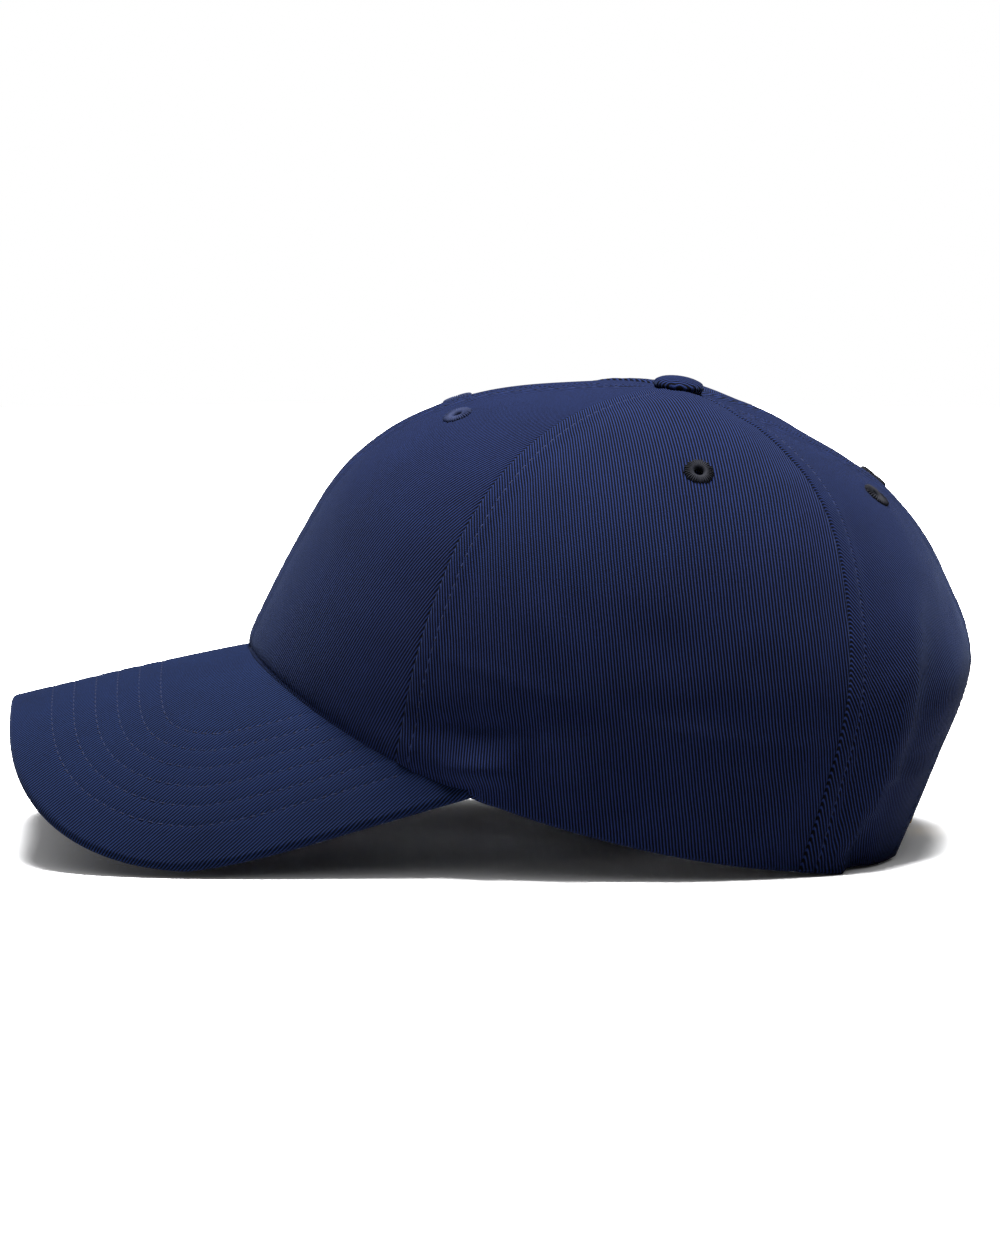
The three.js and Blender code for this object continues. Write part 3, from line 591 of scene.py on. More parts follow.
def twill(n, dark, light):
    """Cotton twill; its ribs run along the flat cloth's second direction."""
    place, x, y = n.flat_place()
    fibre = n.noise(place, 2.4, 2.0, 0.7)
    cloud = n.noise(place, 0.035, 4.0, 0.6)
    drift = n.math("MULTIPLY", n.noise(place, 0.09, 3.0), RIB_WANDER)
    drift = n.math("ADD", drift, n.math("MULTIPLY", fibre, RIB_FRAY))
    across = n.math("ADD", n.math("MULTIPLY", x, 2 * math.pi / RIB_PITCH), drift)
    slant = n.math("ADD", n.math("MULTIPLY", y, 2 * math.pi / YARN_PITCH), n.math("MULTIPLY", across, 0.5))
    ridge = n.math("POWER", n.wave(across), RIB_SHARPNESS)
    weave = n.math("MULTIPLY", ridge, n.math("MULTIPLY_ADD", n.wave(slant), 0.35, 0.75))
    tone = n.math("ADD", n.math("MULTIPLY", weave, RIB_TONE), n.math("MULTIPLY", fibre, FIBRE_TONE))
    tone = n.math("SUBTRACT", n.math("ADD", tone, n.math("MULTIPLY", cloud, CLOUD_TONE)), TONE_SHIFT)
    normal = n.bump(weave, RIB_BUMP, 0.9, n.bump(fibre, FIBRE_BUMP, 0.5))
    return {"Base_Color": n.mix(tone, dark, light), "Normal": normal}, {
        "Roughness": 0.95, "Specular_IOR_Level": 0.04, "Sheen_Weight": 0.035, "Sheen_Roughness": 0.4,
        "Sheen_Tint": (0.38, 0.52, 1.0, 1.0)}


def thread(n, dark, light, sheen):
    """Sewing thread with a fine uneven grain."""
    grain = n.noise(n.object_place(), 2600.0, 2.0)
    return {"Base_Color": n.mix(grain, dark, light), "Normal": n.bump(grain, GRAIN_BUMP, 0.6)}, {
        "Roughness": 0.8, "Specular_IOR_Level": 0.12, "Sheen_Weight": sheen, "Sheen_Roughness": 0.35,
        "Sheen_Tint": (0.5, 0.62, 1.0, 1.0)}


def plain_weave(n, dark, light, pitch, height, roughness):
    """Tape, label or gauze: threads that cross at right angles."""
    place, *parts = n.flat_place()
    waves = [n.math("SINE", n.math("MULTIPLY", part, 2 * math.pi / pitch)) for part in parts]
    weave = n.math("MULTIPLY_ADD", n.math("MULTIPLY", *waves), 0.5, 0.5)
    tone = n.math("ADD", n.math("MULTIPLY", weave, 0.6), n.math("MULTIPLY", n.noise(place, 0.2, 4.0), 0.4))
    return {"Base_Color": n.mix(tone, dark, light), "Normal": n.bump(weave, height, 0.8)}, {
        "Roughness": roughness, "Specular_IOR_Level": 0.25, "Sheen_Weight": 0.15}


def worn_metal(n, dark, light, roughness):
    """Brushed metal with fine scratches and darker, duller stains."""
    stretch = n.add("ShaderNodeMapping", (n.object_place(), "Vector"), Scale=(300, 300, 4000))
    scratches = n.noise(stretch.outputs["Vector"], 1.0, 3.0)
    stain = n.noise(n.object_place(), 260.0, 5.0, 0.65)
    return {"Base_Color": n.mix(stain, dark, light), "Normal": n.bump(scratches, 0.00004, 0.35),
            "Roughness": n.math("MULTIPLY_ADD", stain, 0.3, roughness - 0.15)}, {"Metallic": 1.0}


def board_plastic(n, dark, light):
    grain = n.noise(n.add("ShaderNodeTexCoord").outputs["Generated"], 900.0, 3.0)
    return {"Base_Color": n.mix(grain, dark, light), "Normal": n.bump(grain, 0.00003, 0.4)}, {
        "Roughness": 0.5}


TWILL = finished("navy_twill", twill, (0.0004, 0.0004, 0.0010), (0.0064, 0.0122, 0.0480))
# painted shade: the visor's twill is the crown's cloth made darker, so the visor shows less light than the
# lamps give it
SHADED_VISOR_TWILL = finished("visor_twill", twill, (0.0004, 0.0006, 0.0020), (0.0043, 0.0104, 0.0400))
SEAM_THREAD = finished("seam_thread", thread, (0.0012, 0.0020, 0.0090), (0.0065, 0.0120, 0.0440), 0.025)
EYELET_THREAD = finished("eyelet_thread", thread, (0.0004, 0.0005, 0.0012), (0.0026, 0.0032, 0.0075), 0.01)
# painted shade: the visor's stitching is the seam thread made darker, to go with the visor's darkened twill
SHADED_VISOR_THREAD = finished("visor_thread", thread, (0.0010, 0.0016, 0.0070), (0.0048, 0.0088, 0.0330), 0.02)
TONAL_THREAD = finished("tonal_thread", thread, (0.0014, 0.0024, 0.0090), (0.0085, 0.0150, 0.0520), 0.04)
TAPE = finished("seam_tape", plain_weave, (0.006, 0.009, 0.024), (0.022, 0.031, 0.072), 0.55, 0.00008, 0.85)
GAUZE = finished("stiffener_gauze", plain_weave, (0.42, 0.43, 0.46), (0.72, 0.73, 0.75), 1.1, 0.0001, 0.9)
LABEL = finished("label_satin", plain_weave, (0.62, 0.62, 0.64), (0.80, 0.80, 0.82), 0.4, 0.00003, 0.6)
BRASS = finished("antique_brass", worn_metal, (0.16, 0.105, 0.04), (0.52, 0.38, 0.17), 0.42)
BUTTON_METAL = finished("button_metal", worn_metal, (0.45, 0.45, 0.46), (0.75, 0.75, 0.76), 0.4)
BOARD = finished("visor_board_plastic", board_plastic, (0.68, 0.68, 0.65), (0.82, 0.82, 0.79))


# ---- crown panels ----

EDGE_STEPS = np.array([0, 0.22, 0.5, 0.9, 1.5, 2.4, 3.3, 3.9, 4.5, 5.1, 5.9, 7.2, 9.0])
STITCH_COLUMN = 8  # the edge step that lies at the stitch row
PANEL_ROWS = 120
LEAST_MIDDLE = 6  # millimetres between the two dense edges before they are drawn together
FREE_ROWS = slice(6, -2)  # the rows that carry topstitching
MIDDLE_COLUMNS = {"front": 30, "side": 44}
BACK_COLUMNS = 9
ARCH_COLUMNS = 16
ARCH_LAST_TURN = math.radians(16)
EYELET_HOLE = 2.4
LEAST_RELIEF = 0.35  # share of the seams' relief that is left where they come together at the button
ALLOWANCE_LIFT = 0.5  # how far the seam allowances lift the cloth over them
ALLOWANCE_END = 4.7
ALLOWANCE_EASE = 2.5
STITCH_DIP = 0.32
STITCH_DIP_WIDTH = 0.55
RAISED_FALL = (0.8, 0.2)  # the fold into the seam: its depth, and the distance over which it ends
PLAIN_FALL = (0.35, 0.35)
PUCKER = 0.08
EDGE_TUCK = 2.2  # how far the crown's edge dives in where it is sewn to the visor
EDGE_TUCK_RATE = 65.0
EDGE_TUCK_END = VISOR_CORNER_ANGLE + 0.02
EDGE_FOLD = ((0.35, 0.1), (0.75, 0.4), (0.75, 0.9), (0.35, 1.3))  # round the bottom edge: (below, inwards)
PANELS = {
    "front": {"seams": (constant_angle(0), constant_angle(FRONT_SEAM)), "raised": (True, False), "turn": -14},
    "side": {"seams": (constant_angle(FRONT_SEAM), back_seam), "raised": (True, False), "turn": 17},
    "back": {"seams": (back_seam, constant_angle(math.pi)), "raised": (True, True), "turn": 25},
}


def seam_angles(place, share):
    return [seam(share) for seam in PANELS[place]["seams"]]


def seam_fall(distance, fall):
    depth, reach = fall
    return depth * np.exp(-distance / reach)


def raised_edge(distance):
    """Height beside a seam where the allowances lie under the cloth and are stitched down."""
    allowance = ALLOWANCE_LIFT * (1 - smooth((distance - ALLOWANCE_END) / ALLOWANCE_EASE))
    stitched = STITCH_DIP * hump(distance - SEAM_STITCH_INSET, STITCH_DIP_WIDTH)
    return allowance - seam_fall(distance, RAISED_FALL) - stitched


def plain_edge(distance):
    """Height beside a seam on its lower side."""
    return -seam_fall(distance, PLAIN_FALL)


def middle_columns(place):
    """Shares of the way between the two dense edges at which the other columns stand."""
    if place != "back":
        return np.linspace(0, 1, MIDDLE_COLUMNS[place])[1:-1]
    inside = ARCH_HALF_WIDTH * np.sin(np.linspace(math.pi / 2, ARCH_LAST_TURN, ARCH_COLUMNS))
    reach = CROWN_HALF_LENGTH - 3  # the crown's radius at the arch, about
    first, last = BACK_SEAM_BOTTOM + EDGE_STEPS[-1] / reach, math.pi - EDGE_STEPS[-1] / reach
    arch = (math.pi - np.arctan2(inside, reach) - first) / (last - first)
    return np.concatenate([np.linspace(0, arch[0], BACK_COLUMNS)[1:-1], arch])


def panel_columns(place):
    """For each column: its distance from either seam, and which seam it goes by."""
    middle = middle_columns(place)
    far = np.full(len(middle), EDGE_STEPS[-1])
    count = len(EDGE_STEPS)
    from_start = np.concatenate([EDGE_STEPS, far, np.full(count, EDGE_STEPS[-1])])
    from_end = np.concatenate([np.full(count, EDGE_STEPS[-1]), far, EDGE_STEPS[::-1]])
    mix = np.concatenate([np.zeros(count), middle, np.ones(count)])
    return from_start, from_end, mix


def panel_angles(place, share):
    """Angle of every column at its own share, and how far the edge columns are drawn together."""
    from_start, from_end, mix = panel_columns(place)
    start, end = seam_angles(place, share)
    start_rate, end_rate = speed_around(start, share), speed_around(end, share)
    room = (end - start) * (start_rate + end_rate) / 2
    squeeze = np.minimum(1, room / (2 * EDGE_STEPS[-1] + LEAST_MIDDLE))
    return ((1 - mix) * (start + squeeze * from_start / start_rate)
            + mix * (end - squeeze * from_end / end_rate)), squeeze


def in_arch(points):
    return (points[..., 0] / ARCH_HALF_WIDTH) ** 2 + (points[..., 2] / ARCH_HEIGHT) ** 2 < 1


def panel_ends(place, columns):
    """The share at which each column ends, at the bottom edge or at the rear arch."""
    ends = np.ones(columns)
    if place != "back":
        return ends
    just_above = ends - 0.002
    reaches = in_arch(crown_base(panel_angles(place, just_above)[0], just_above))
    kept, cut = np.full(columns, 0.5), np.ones(columns)
    for _ in range(30):
        middle = (kept + cut) / 2
        inside = in_arch(crown_base(panel_angles(place, middle)[0], middle))
        kept, cut = np.where(inside, kept, middle), np.where(inside, middle, cut)
    return np.where(reaches, kept, 1.0)


def distance_around(start, angle, share):
    """Millimetres round the crown from one angle to another, by Simpson's rule."""
    weights = ((0, 1), (0.25, 4), (0.5, 2), (0.75, 4), (1, 1))
    return (angle - start) / 12 * sum(
        weight * speed_around(start + (angle - start) * place, share) for place, weight in weights)


def eyelet_place(place, side):
    """Angle and share of an eyelet's centre."""
    degrees, share = EYELETS[place]
    return np.float64(SIDES[side] * math.radians(degrees)), np.float64(share)


def make_panel(place, side):
    sign = SIDES[side]
    columns = len(panel_columns(place)[0])
    ends = panel_ends(place, columns)
    share = PANEL_TOP + (ends - PANEL_TOP) * np.linspace(0, 1, PANEL_ROWS)[:, None]
    angle, squeeze = panel_angles(place, share)
    relief = np.zeros(share.shape)
    count = len(EDGE_STEPS)
    shapes = [(raised_edge if raised else plain_edge)(EDGE_STEPS) for raised in PANELS[place]["raised"]]
    relief[:, :count] = shapes[0]
    relief[:, -count:] = shapes[1][::-1]
    relief *= np.clip(squeeze, LEAST_RELIEF, 1)
    relief = relief - EDGE_TUCK * np.exp(-(1 - share) * EDGE_TUCK_RATE) * (angle < EDGE_TUCK_END)
    base = crown_base(sign * angle, share)
    normal = crown_normal(sign * angle, share)
    pucker = PUCKER * ripple(base, 6, 0.9) * ramp(relief, ALLOWANCE_LIFT)
    folds = crown_relief(sign * angle, share)
    outer = base + normal * (folds + relief + pucker)[..., None]
    inner = base + normal * (folds - PANEL_THICKNESS)[..., None]
    down = unit(outer[-1] - outer[-3])
    rim = [outer[-1] + down * below - normal[-1] * inwards for below, inwards in EDGE_FOLD]
    eye = crown_layer(*eyelet_place(place, side), 0)
    middle = sum(seam_angles(place, share)) / 2
    around = sign * distance_around(middle, angle, share)
    uv = np.stack([around, lengths(outer, 0)], -1)
    cloth(f"{place}_panel_cloth_{side}", f"{place}_panel_{side}", outer, inner, TWILL, "cotton_twill",
          rim=rim, uv=uv, turn=PANELS[place]["turn"], holes=[(eye, EYELET_HOLE)])
    return outer, normal


def make_crown():
    for side in SIDES:
        for place in PANELS:
            outer, normal = make_panel(place, side)
            columns = [STITCH_COLUMN, -1 - STITCH_COLUMN] if PANELS[place]["raised"][1] else [STITCH_COLUMN]
            paths = [(outer[FREE_ROWS, column], normal[FREE_ROWS, column]) for column in columns]
            stitches(f"{place}_panel_topstitching_{side}", paths, SEAM_THREAD)


# ---- eyelets and button ----

EYELET_WRAPS = 34
WRAP_STEPS = 8
EYELET_MIDDLE = -0.6
WRAP_SPREAD = 0.12
WRAP_RISE = 0.16
WRAPS_FROM = 1.4  # the strands stand out more and more between these two radii
WRAPS_TO = 3.8
EYELET_PROFILE = [
    (EYELET_RADIUS, -0.25), (4.28, 0.12), (4.05, 0.45), (3.6, 0.66), (3.0, 0.78), (2.4, 0.76), (1.9, 0.6),
    (1.5, 0.25), (1.32, -0.3), (1.32, -1.0), (1.45, -1.5), (1.9, -1.75), (2.8, -1.85), (3.6, -1.75),
    (4.1, -1.5), (4.25, -1.1)]  # (radius, height) round the bead of thread


def placed_on(point, normal):
    """A 4 by 4 placing with Z along the normal."""
    across = unit(np.cross(np.array([0.0, 0.0, 1.0]), normal))
    matrix = np.eye(4)
    matrix[:3, :3] = np.stack([across, np.cross(normal, across), normal], -1)
    matrix[:3, 3] = point
    return matrix


def make_eyelet(place, side):
    angle, share = eyelet_place(place, side)
    matrix = placed_on(crown_layer(angle, share, 0), crown_normal(angle, share))
    start = EYELETS[place][0]  # so that no two kinds of eyelet are uneven in the same way

    def wraps(turn, radius, height):
        strand = np.cos(EYELET_WRAPS * turn)
        uneven = 0.16 * np.sin(3 * turn + start) + 0.12 * np.sin(13 * turn + start)
        outer = smooth((radius - WRAPS_FROM) / (WRAPS_TO - WRAPS_FROM))
        outward = np.where(height > EYELET_MIDDLE, 1.0, -1.0)
        return radius + outer * (uneven + WRAP_SPREAD * strand), height + outward * WRAP_RISE * strand * outer

    material = TONAL_THREAD if place == "front" else EYELET_THREAD
    turned(f"{place}_eyelet_thread_{side}", f"{place}_eyelet_{side}", EYELET_PROFILE, matrix, material,
           "eyelet_thread", EYELET_WRAPS * WRAP_STEPS, wraps)


BUTTON_SEGMENTS = 96
BUTTON_FULLNESS = 0.85  # under 1 makes the dome fuller than an ellipse
BUTTON_EDGE = [(0.15, -0.6), (0.5, -1.5), (1.4, -1.5), (1.4, 0.0)]  # (in from the rim, height)
BUTTON_CLOTH = 0.9
BUTTON_AXIS = 0.05  # where its outline closes, close to the axis
GATHERS_START = 0.72  # share of its radius beyond which the cloth is gathered
GATHERS_OUT = 0.07
GATHERS_UP = 0.10


def make_button():
    matrix = np.array(Matrix.Rotation(-BUTTON_TILT, 4, "X"))
    matrix[:3, 3] = (0, CROWN_CENTRE_Y + APEX_Y, APEX_Z + BUTTON_LIFT)
    dome = [(BUTTON_RADIUS * math.cos(a), BUTTON_HEIGHT * math.sin(a) ** BUTTON_FULLNESS)
            for a in np.radians(np.linspace(89, 0, 22))]
    edge = [(BUTTON_RADIUS - inset, height) for inset, height in BUTTON_EDGE]

    def gathers(turn, radius, height):
        rim = smooth((radius / BUTTON_RADIUS - GATHERS_START) / (1 - GATHERS_START))
        fold = np.sin(11 * turn + 0.5) + 0.6 * np.sin(17 * turn + 2)
        return radius + GATHERS_OUT * rim * fold, height + GATHERS_UP * rim * fold * (height > 0)

    under = [(BUTTON_AXIS, BUTTON_HEIGHT - BUTTON_CLOTH)]
    turned("button_cloth", "button_cover", dome + edge + under, matrix, TWILL, "cotton_twill",
           BUTTON_SEGMENTS, gathers)


# ---- visor ----

VISOR_END = 0.996  # share of the sweep to its corners at which it ends
VISOR_ROUND = VISOR_THICKNESS / 2
VISOR_COLUMNS = 281
VISOR_ROWS = 120
VISOR_GROOVE = 0.2
VISOR_GROOVE_WIDTH = 0.75
VISOR_SWELL = 0.10
VISOR_CLOTH = 0.8
VISOR_SEAM_TURN = math.radians(104)  # where the two covers meet on the rolled edge
VISOR_SEAM_DIP = (0.5, 0.2)  # for the outer and inner faces of the cloth
VISOR_SEAM_WIDTH = 0.16
ROLL_TURNS = {
    1: np.linspace(math.radians(12), VISOR_SEAM_TURN, 14),
    -1: np.linspace(math.pi - 0.2, VISOR_SEAM_TURN, 10),
}
VISOR_TURN = -35
VISOR_STITCH_PITCH = 3.0
VISOR_STITCH_LENGTH = 2.1
FEWEST_ROW_POINTS = 20
POINTS_AT_ONCE = 2000
BOARD_DEPTH = 1.2
BOARD_THICKNESS = 1.6
BOARD_INSET = 2.8
BOARD_EDGE = 0.35
BOARD_SWEEP = 0.96


def visor_plan(across, out):
    """A point of the visor in plan, from the crown's centre; out runs from under the crown to the rim."""
    sweep = across * VISOR_END
    root_angle = sweep * VISOR_CORNER_ANGLE
    root = superellipse_radius(
        root_angle, CROWN_HALF_WIDTH - PANEL_THICKNESS, CROWN_HALF_LENGTH - PANEL_THICKNESS, 2)
    rim_angle = sweep * math.pi / 2
    rim = superellipse_radius(rim_angle, VISOR_HALF_WIDTH, VISOR_LENGTH, VISOR_SQUARENESS)
    x = root * np.sin(root_angle) * (1 - out) + rim * np.sin(rim_angle) * out
    y = -root * np.cos(root_angle) * (1 - out) + (VISOR_CORNER_Y - rim * np.cos(rim_angle)) * out
    return x, y


def flattened(x, y):
    """The visor unrolled, as it is cut and stitched."""
    bend = visor_bend(y)
    return np.stack([bend * np.arcsin(np.clip(x / bend, -1, 1)), y], -1)


def visor_rim_flat():
    x, y = visor_plan(np.linspace(-1, 1, 701), 1.0)
    return flattened(x, y)


def edge_distance(x, y, rim):
    """How far points of the visor are from its rim on the flat cloth, worked out in parts to save memory."""
    flat = flattened(x, y).reshape(-1, 2)
    distance = np.concatenate([
        np.linalg.norm(part[:, None] - rim[None], axis=-1).min(1)
        for part in np.array_split(flat, max(1, len(flat) // POINTS_AT_ONCE))])
    return distance.reshape(x.shape)


def visor_lift(x, y, lift):
    """A point above the visor's top face, in the part's frame, and the face's normal there."""
    step = 0.5
    slope_x = visor_height(x + step, y) - visor_height(x - step, y)
    slope_y = visor_height(x, y + step) - visor_height(x, y - step)
    normal = unit(np.stack([-slope_x, -slope_y, np.ones_like(slope_x)], -1))
    point = np.stack([x, y + CROWN_CENTRE_Y, visor_height(x, y)], -1)
    return point + normal * np.asarray(lift)[..., None], normal


def quilted(distance):
    """Height of the cloth between the stitch rows."""
    rows = np.array(VISOR_STITCH_ROWS)
    nearest = np.abs(distance[..., None] - rows).min(-1)
    return -VISOR_GROOVE * hump(nearest, VISOR_GROOVE_WIDTH)


def visor_grid(sweep, rows, inset):
    """Plan points in rows that run from under the crown to this far inside the rim, and the steps down."""
    down, across = np.meshgrid(np.linspace(0, 1, rows), sweep, indexing="ij")
    to_rim = edge_distance(*visor_plan(across, down), visor_rim_flat())
    last = np.array([np.interp(-inset, -to_rim[:, i], down[:, i]) for i in range(len(sweep))])
    return *visor_plan(across, down * last), down


def away_from_middle(vectors, points):
    """The same directions, turned round if they point inwards on the whole."""
    return vectors * np.sign((vectors * (points - points.mean(0))).sum(-1).mean())


def visor_face(side):
    """One cover of the visor with its rolled edge: outer and inner grids and the flat places.

    side is 1 for the top cover and -1 for the lower one.
    """
    x, y, _ = visor_grid(np.linspace(-1, 1, VISOR_COLUMNS), VISOR_ROWS, VISOR_ROUND)
    relief = quilted(edge_distance(x, y, visor_rim_flat()))
    swell = VISOR_SWELL * ripple(np.stack([x, y, 0 * x], -1), 34, 1.1)
    lift = relief + swell if side > 0 else -VISOR_THICKNESS - relief - swell
    face, _ = visor_lift(x, y, lift)
    flat = flattened(x, y)
    flat_tangent = unit(np.gradient(flat[-1], axis=0))
    flat_outward = away_from_middle(np.stack([flat_tangent[:, 1], -flat_tangent[:, 0]], -1), flat[-1])
    centre, normal = visor_lift(x[-1], y[-1], -VISOR_ROUND)
    tangent = unit(np.gradient(centre, axis=0))
    outward = away_from_middle(unit(np.cross(tangent, normal)), centre)
    turns = ROLL_TURNS[side]

    def roll(radius, dip):
        return [centre + (outward * math.sin(t) + normal * math.cos(t)) * (
            radius - dip * hump(t - VISOR_SEAM_TURN, VISOR_SEAM_WIDTH)) for t in turns]

    outer = np.concatenate([face, roll(VISOR_ROUND, VISOR_SEAM_DIP[0])])
    inside = -VISOR_CLOTH if side > 0 else VISOR_CLOTH - VISOR_THICKNESS
    inner_face, _ = visor_lift(x, y, np.full(x.shape, inside))
    inner = np.concatenate([inner_face, roll(VISOR_ROUND - VISOR_CLOTH, VISOR_SEAM_DIP[1])])
    turned_by = turns if side > 0 else math.pi - turns
    uv = np.concatenate([flat, [flat[-1] + flat_outward * VISOR_ROUND * t for t in turned_by]])
    return outer, inner, uv


def visor_rows(side):
    """The stitch rows, each at one distance from the rim of the flat visor."""
    rim = visor_rim_flat()
    tangent = unit(np.gradient(rim, axis=0))
    inward = np.stack([-tangent[:, 1], tangent[:, 0]], -1)
    middle = len(rim) // 2
    inward *= np.sign(inward[middle, 1])
    paths = []
    for inset in VISOR_STITCH_ROWS:
        flat = rim + inward * inset
        clear = np.linalg.norm(flat[:, None] - rim[None], axis=-1).min(1) > inset - 0.15
        bend = visor_bend(flat[:, 1])
        x = bend * np.sin(flat[:, 0] / bend)
        y = flat[:, 1]
        outside = (x / (CROWN_HALF_WIDTH + 1)) ** 2 + (y / (CROWN_HALF_LENGTH + 1)) ** 2 > 1
        use = clear & outside & (np.abs(x) < VISOR_HALF_WIDTH - 4)
        if use.sum() < FEWEST_ROW_POINTS:
            continue
        lift = -VISOR_GROOVE if side > 0 else VISOR_GROOVE - VISOR_THICKNESS
        points, normal = visor_lift(x[use], y[use], np.full(use.sum(), lift))
        paths.append((points, normal * side))
    return paths


def make_visor_board():
    """The stiff sheet between the covers, cut smaller than they are."""
    x, y, down = visor_grid(np.linspace(-BOARD_SWEEP, BOARD_SWEEP, 161), 60, BOARD_INSET)
    edge = BOARD_EDGE * (down == 1)
    upper, _ = visor_lift(x, y, -BOARD_DEPTH - edge)
    lower, _ = visor_lift(x, y, -BOARD_DEPTH - BOARD_THICKNESS + edge)
    cloth("visor_board_sheet", "visor_board", upper, lower, BOARD, "visor_board", sheet=False)


def make_visor():
    make_visor_board()
    for name, side in (("top", 1), ("under", -1)):
        outer, inner, uv = visor_face(side)
        cloth(f"visor_{name}_cloth", f"visor_{name}_cover", outer, inner, SHADED_VISOR_TWILL, "visor_twill", uv=uv,
              turn=VISOR_TURN)
        stitches(f"visor_{name}_stitch_rows", visor_rows(side), SHADED_VISOR_THREAD,
                 pitch=VISOR_STITCH_PITCH, length=VISOR_STITCH_LENGTH)


# ---- inside: tapes, stiffener, sweatband, label ----

TAPE_TOP = 0.07
TAPE_BOTTOM = 0.97
BACK_TAPE_BOTTOM = 0.6
TAPE_NARROWING = 0.55  # a tape's width as a share of the crown's half width, where that is less
TAPE_STITCHES = (0.14, 0.86)
STIFFENER_TOP = 0.2
STIFFENER_GAP = 1


def beside(angle, share, distance):
    """The angle this many millimetres round from another, about."""
    return angle + distance / np.maximum(spline(SIDE_MERIDIAN, share)[..., 0], 1)


def make_tape(name, seam, bottom, depth):
    def face(across, down, level):
        share = TAPE_TOP + (bottom - TAPE_TOP) * down
        width = np.minimum(SEAM_TAPE_WIDTH, TAPE_NARROWING * spline(SIDE_MERIDIAN, share)[..., 0])
        angle = beside(seam(share), share, width * (across - 0.5))
        return crown_layer(angle, share, level), -crown_normal(angle, share)

    layer(f"{name}_cloth", name, lambda *place: face(*place)[0], edged(7, 0.06), edged(60, 0.004), depth,
          LINING_THICKNESS, TAPE, "seam_tape")
    down = np.linspace(0.02, 0.98, 90)
    stitches(f"{name}_stitches", [face(across, down, depth + LINING_THICKNESS) for across in TAPE_STITCHES],
             SEAM_THREAD)


def make_tapes():
    make_tape("front_centre_seam_tape", constant_angle(0), SWEATBAND_TOP - 0.02, SWEATBAND_DEPTH)
    make_tape("back_centre_seam_tape", constant_angle(math.pi), BACK_TAPE_BOTTOM, LINING_DEPTH)
    for side, sign in SIDES.items():
        make_tape(f"front_seam_tape_{side}", constant_angle(sign * FRONT_SEAM), TAPE_BOTTOM, LINING_DEPTH)
        make_tape(f"back_seam_tape_{side}", lambda s: sign * back_seam(s), TAPE_BOTTOM, LINING_DEPTH)


def make_stiffener():
    def face(across, down, level):
        share = STIFFENER_TOP + (TAPE_BOTTOM - STIFFENER_TOP) * down
        edge = beside(FRONT_SEAM, share, -SEAM_TAPE_WIDTH / 2 - STIFFENER_GAP)
        return crown_layer(edge * (2 * across - 1), share, level)

    holes = [(crown_layer(*eyelet_place("front", side), LINING_DEPTH), EYELET_RADIUS + 0.6) for side in SIDES]
    layer("front_stiffener_gauze", "front_stiffener", face, edged(90, 0.004), edged(70, 0.004), LINING_DEPTH,
          LINING_THICKNESS, GAUZE, "stiffener_mesh", holes=holes)


SWEATBAND_END = math.pi - math.atan2(ARCH_HALF_WIDTH + 2, CROWN_HALF_LENGTH - 4)
SWEATBAND_ROWS = (0.17, 0.86)  # where it is stitched, as shares of the way down; the first one is its hem
SWEATBAND_DEEPER_FROM = math.radians(128)
SWEATBAND_DEEPER_OVER = math.radians(18)
SWEATBAND_TURN = 130
SWEATBAND_HEM = 0.35
SWEATBAND_WAVES = 0.6
SWEATBAND_SAG = 1.8  # how far it shows below the crown's edge behind the visor's corners
LABEL_ANGLE = math.radians(-108)
LABEL_WIDTH = 0.26  # radians
LABEL_TOP = SWEATBAND_TOP + 0.045
LABEL_BOTTOM = 0.96
LABEL_CURL = 0.9
LABEL_GAP = 0.3
LABEL_THICKNESS = 0.35


def sweatband_depth(angle):
    """It lies deeper at the back, where the strap goes between it and the crown."""
    deeper = smooth((np.abs(angle) - SWEATBAND_DEEPER_FROM) / SWEATBAND_DEEPER_OVER)
    return SWEATBAND_DEPTH + (SWEATBAND_BACK_DEPTH - SWEATBAND_DEPTH) * deeper


def sweatband_point(angle, share, level):
    hang = 0.5 * ripple(crown_base(angle, share), 45, 2.2) * smooth((0.9 - share) / 0.1)
    return crown_layer(angle, share, sweatband_depth(angle) + level + np.abs(hang) * SWEATBAND_WAVES)


def make_sweatband():
    def face(across, down, level):
        angle = SWEATBAND_END * (2 * across - 1)
        share = SWEATBAND_TOP + (1 - SWEATBAND_TOP) * down
        hem = SWEATBAND_HEM * hump(down - SWEATBAND_ROWS[0], 0.02) * np.sign(level - SWEATBAND_THICKNESS / 2)
        sag = SWEATBAND_SAG * down ** 3 * hump(np.abs(angle) - VISOR_CORNER_ANGLE - 0.04, 0.12)
        return sweatband_point(angle, share, level - hem) - sag[..., None] * np.array([0, 0, 1])

    layer("sweatband_cloth", "sweatband", face, edged(260, 0.002), edged(26, 0.01), 0, SWEATBAND_THICKNESS,
          TWILL, "cotton_twill", turn=SWEATBAND_TURN)
    angle = np.linspace(-SWEATBAND_END + 0.02, SWEATBAND_END - 0.02, 400)
    paths = []
    for down in SWEATBAND_ROWS:
        share = np.full(len(angle), SWEATBAND_TOP + (1 - SWEATBAND_TOP) * down)
        paths.append((sweatband_point(angle, share, SWEATBAND_THICKNESS), -crown_normal(angle, share)))
    stitches("sweatband_stitches", paths, SEAM_THREAD)


def make_label():
    def face(across, down, level):
        share = LABEL_TOP + (LABEL_BOTTOM - LABEL_TOP) * down
        curl = LABEL_CURL * np.abs(2 * across - 1) ** 3 * down
        return crown_layer(LABEL_ANGLE + LABEL_WIDTH * (across - 0.5), share, level + curl)

    layer("care_label_satin", "care_label", face, edged(24, 0.01), edged(24, 0.01),
          SWEATBAND_DEPTH + SWEATBAND_THICKNESS + LABEL_GAP, LABEL_THICKNESS, LABEL, "label_fabric")


# ---- rear arch, strap and clasp ----

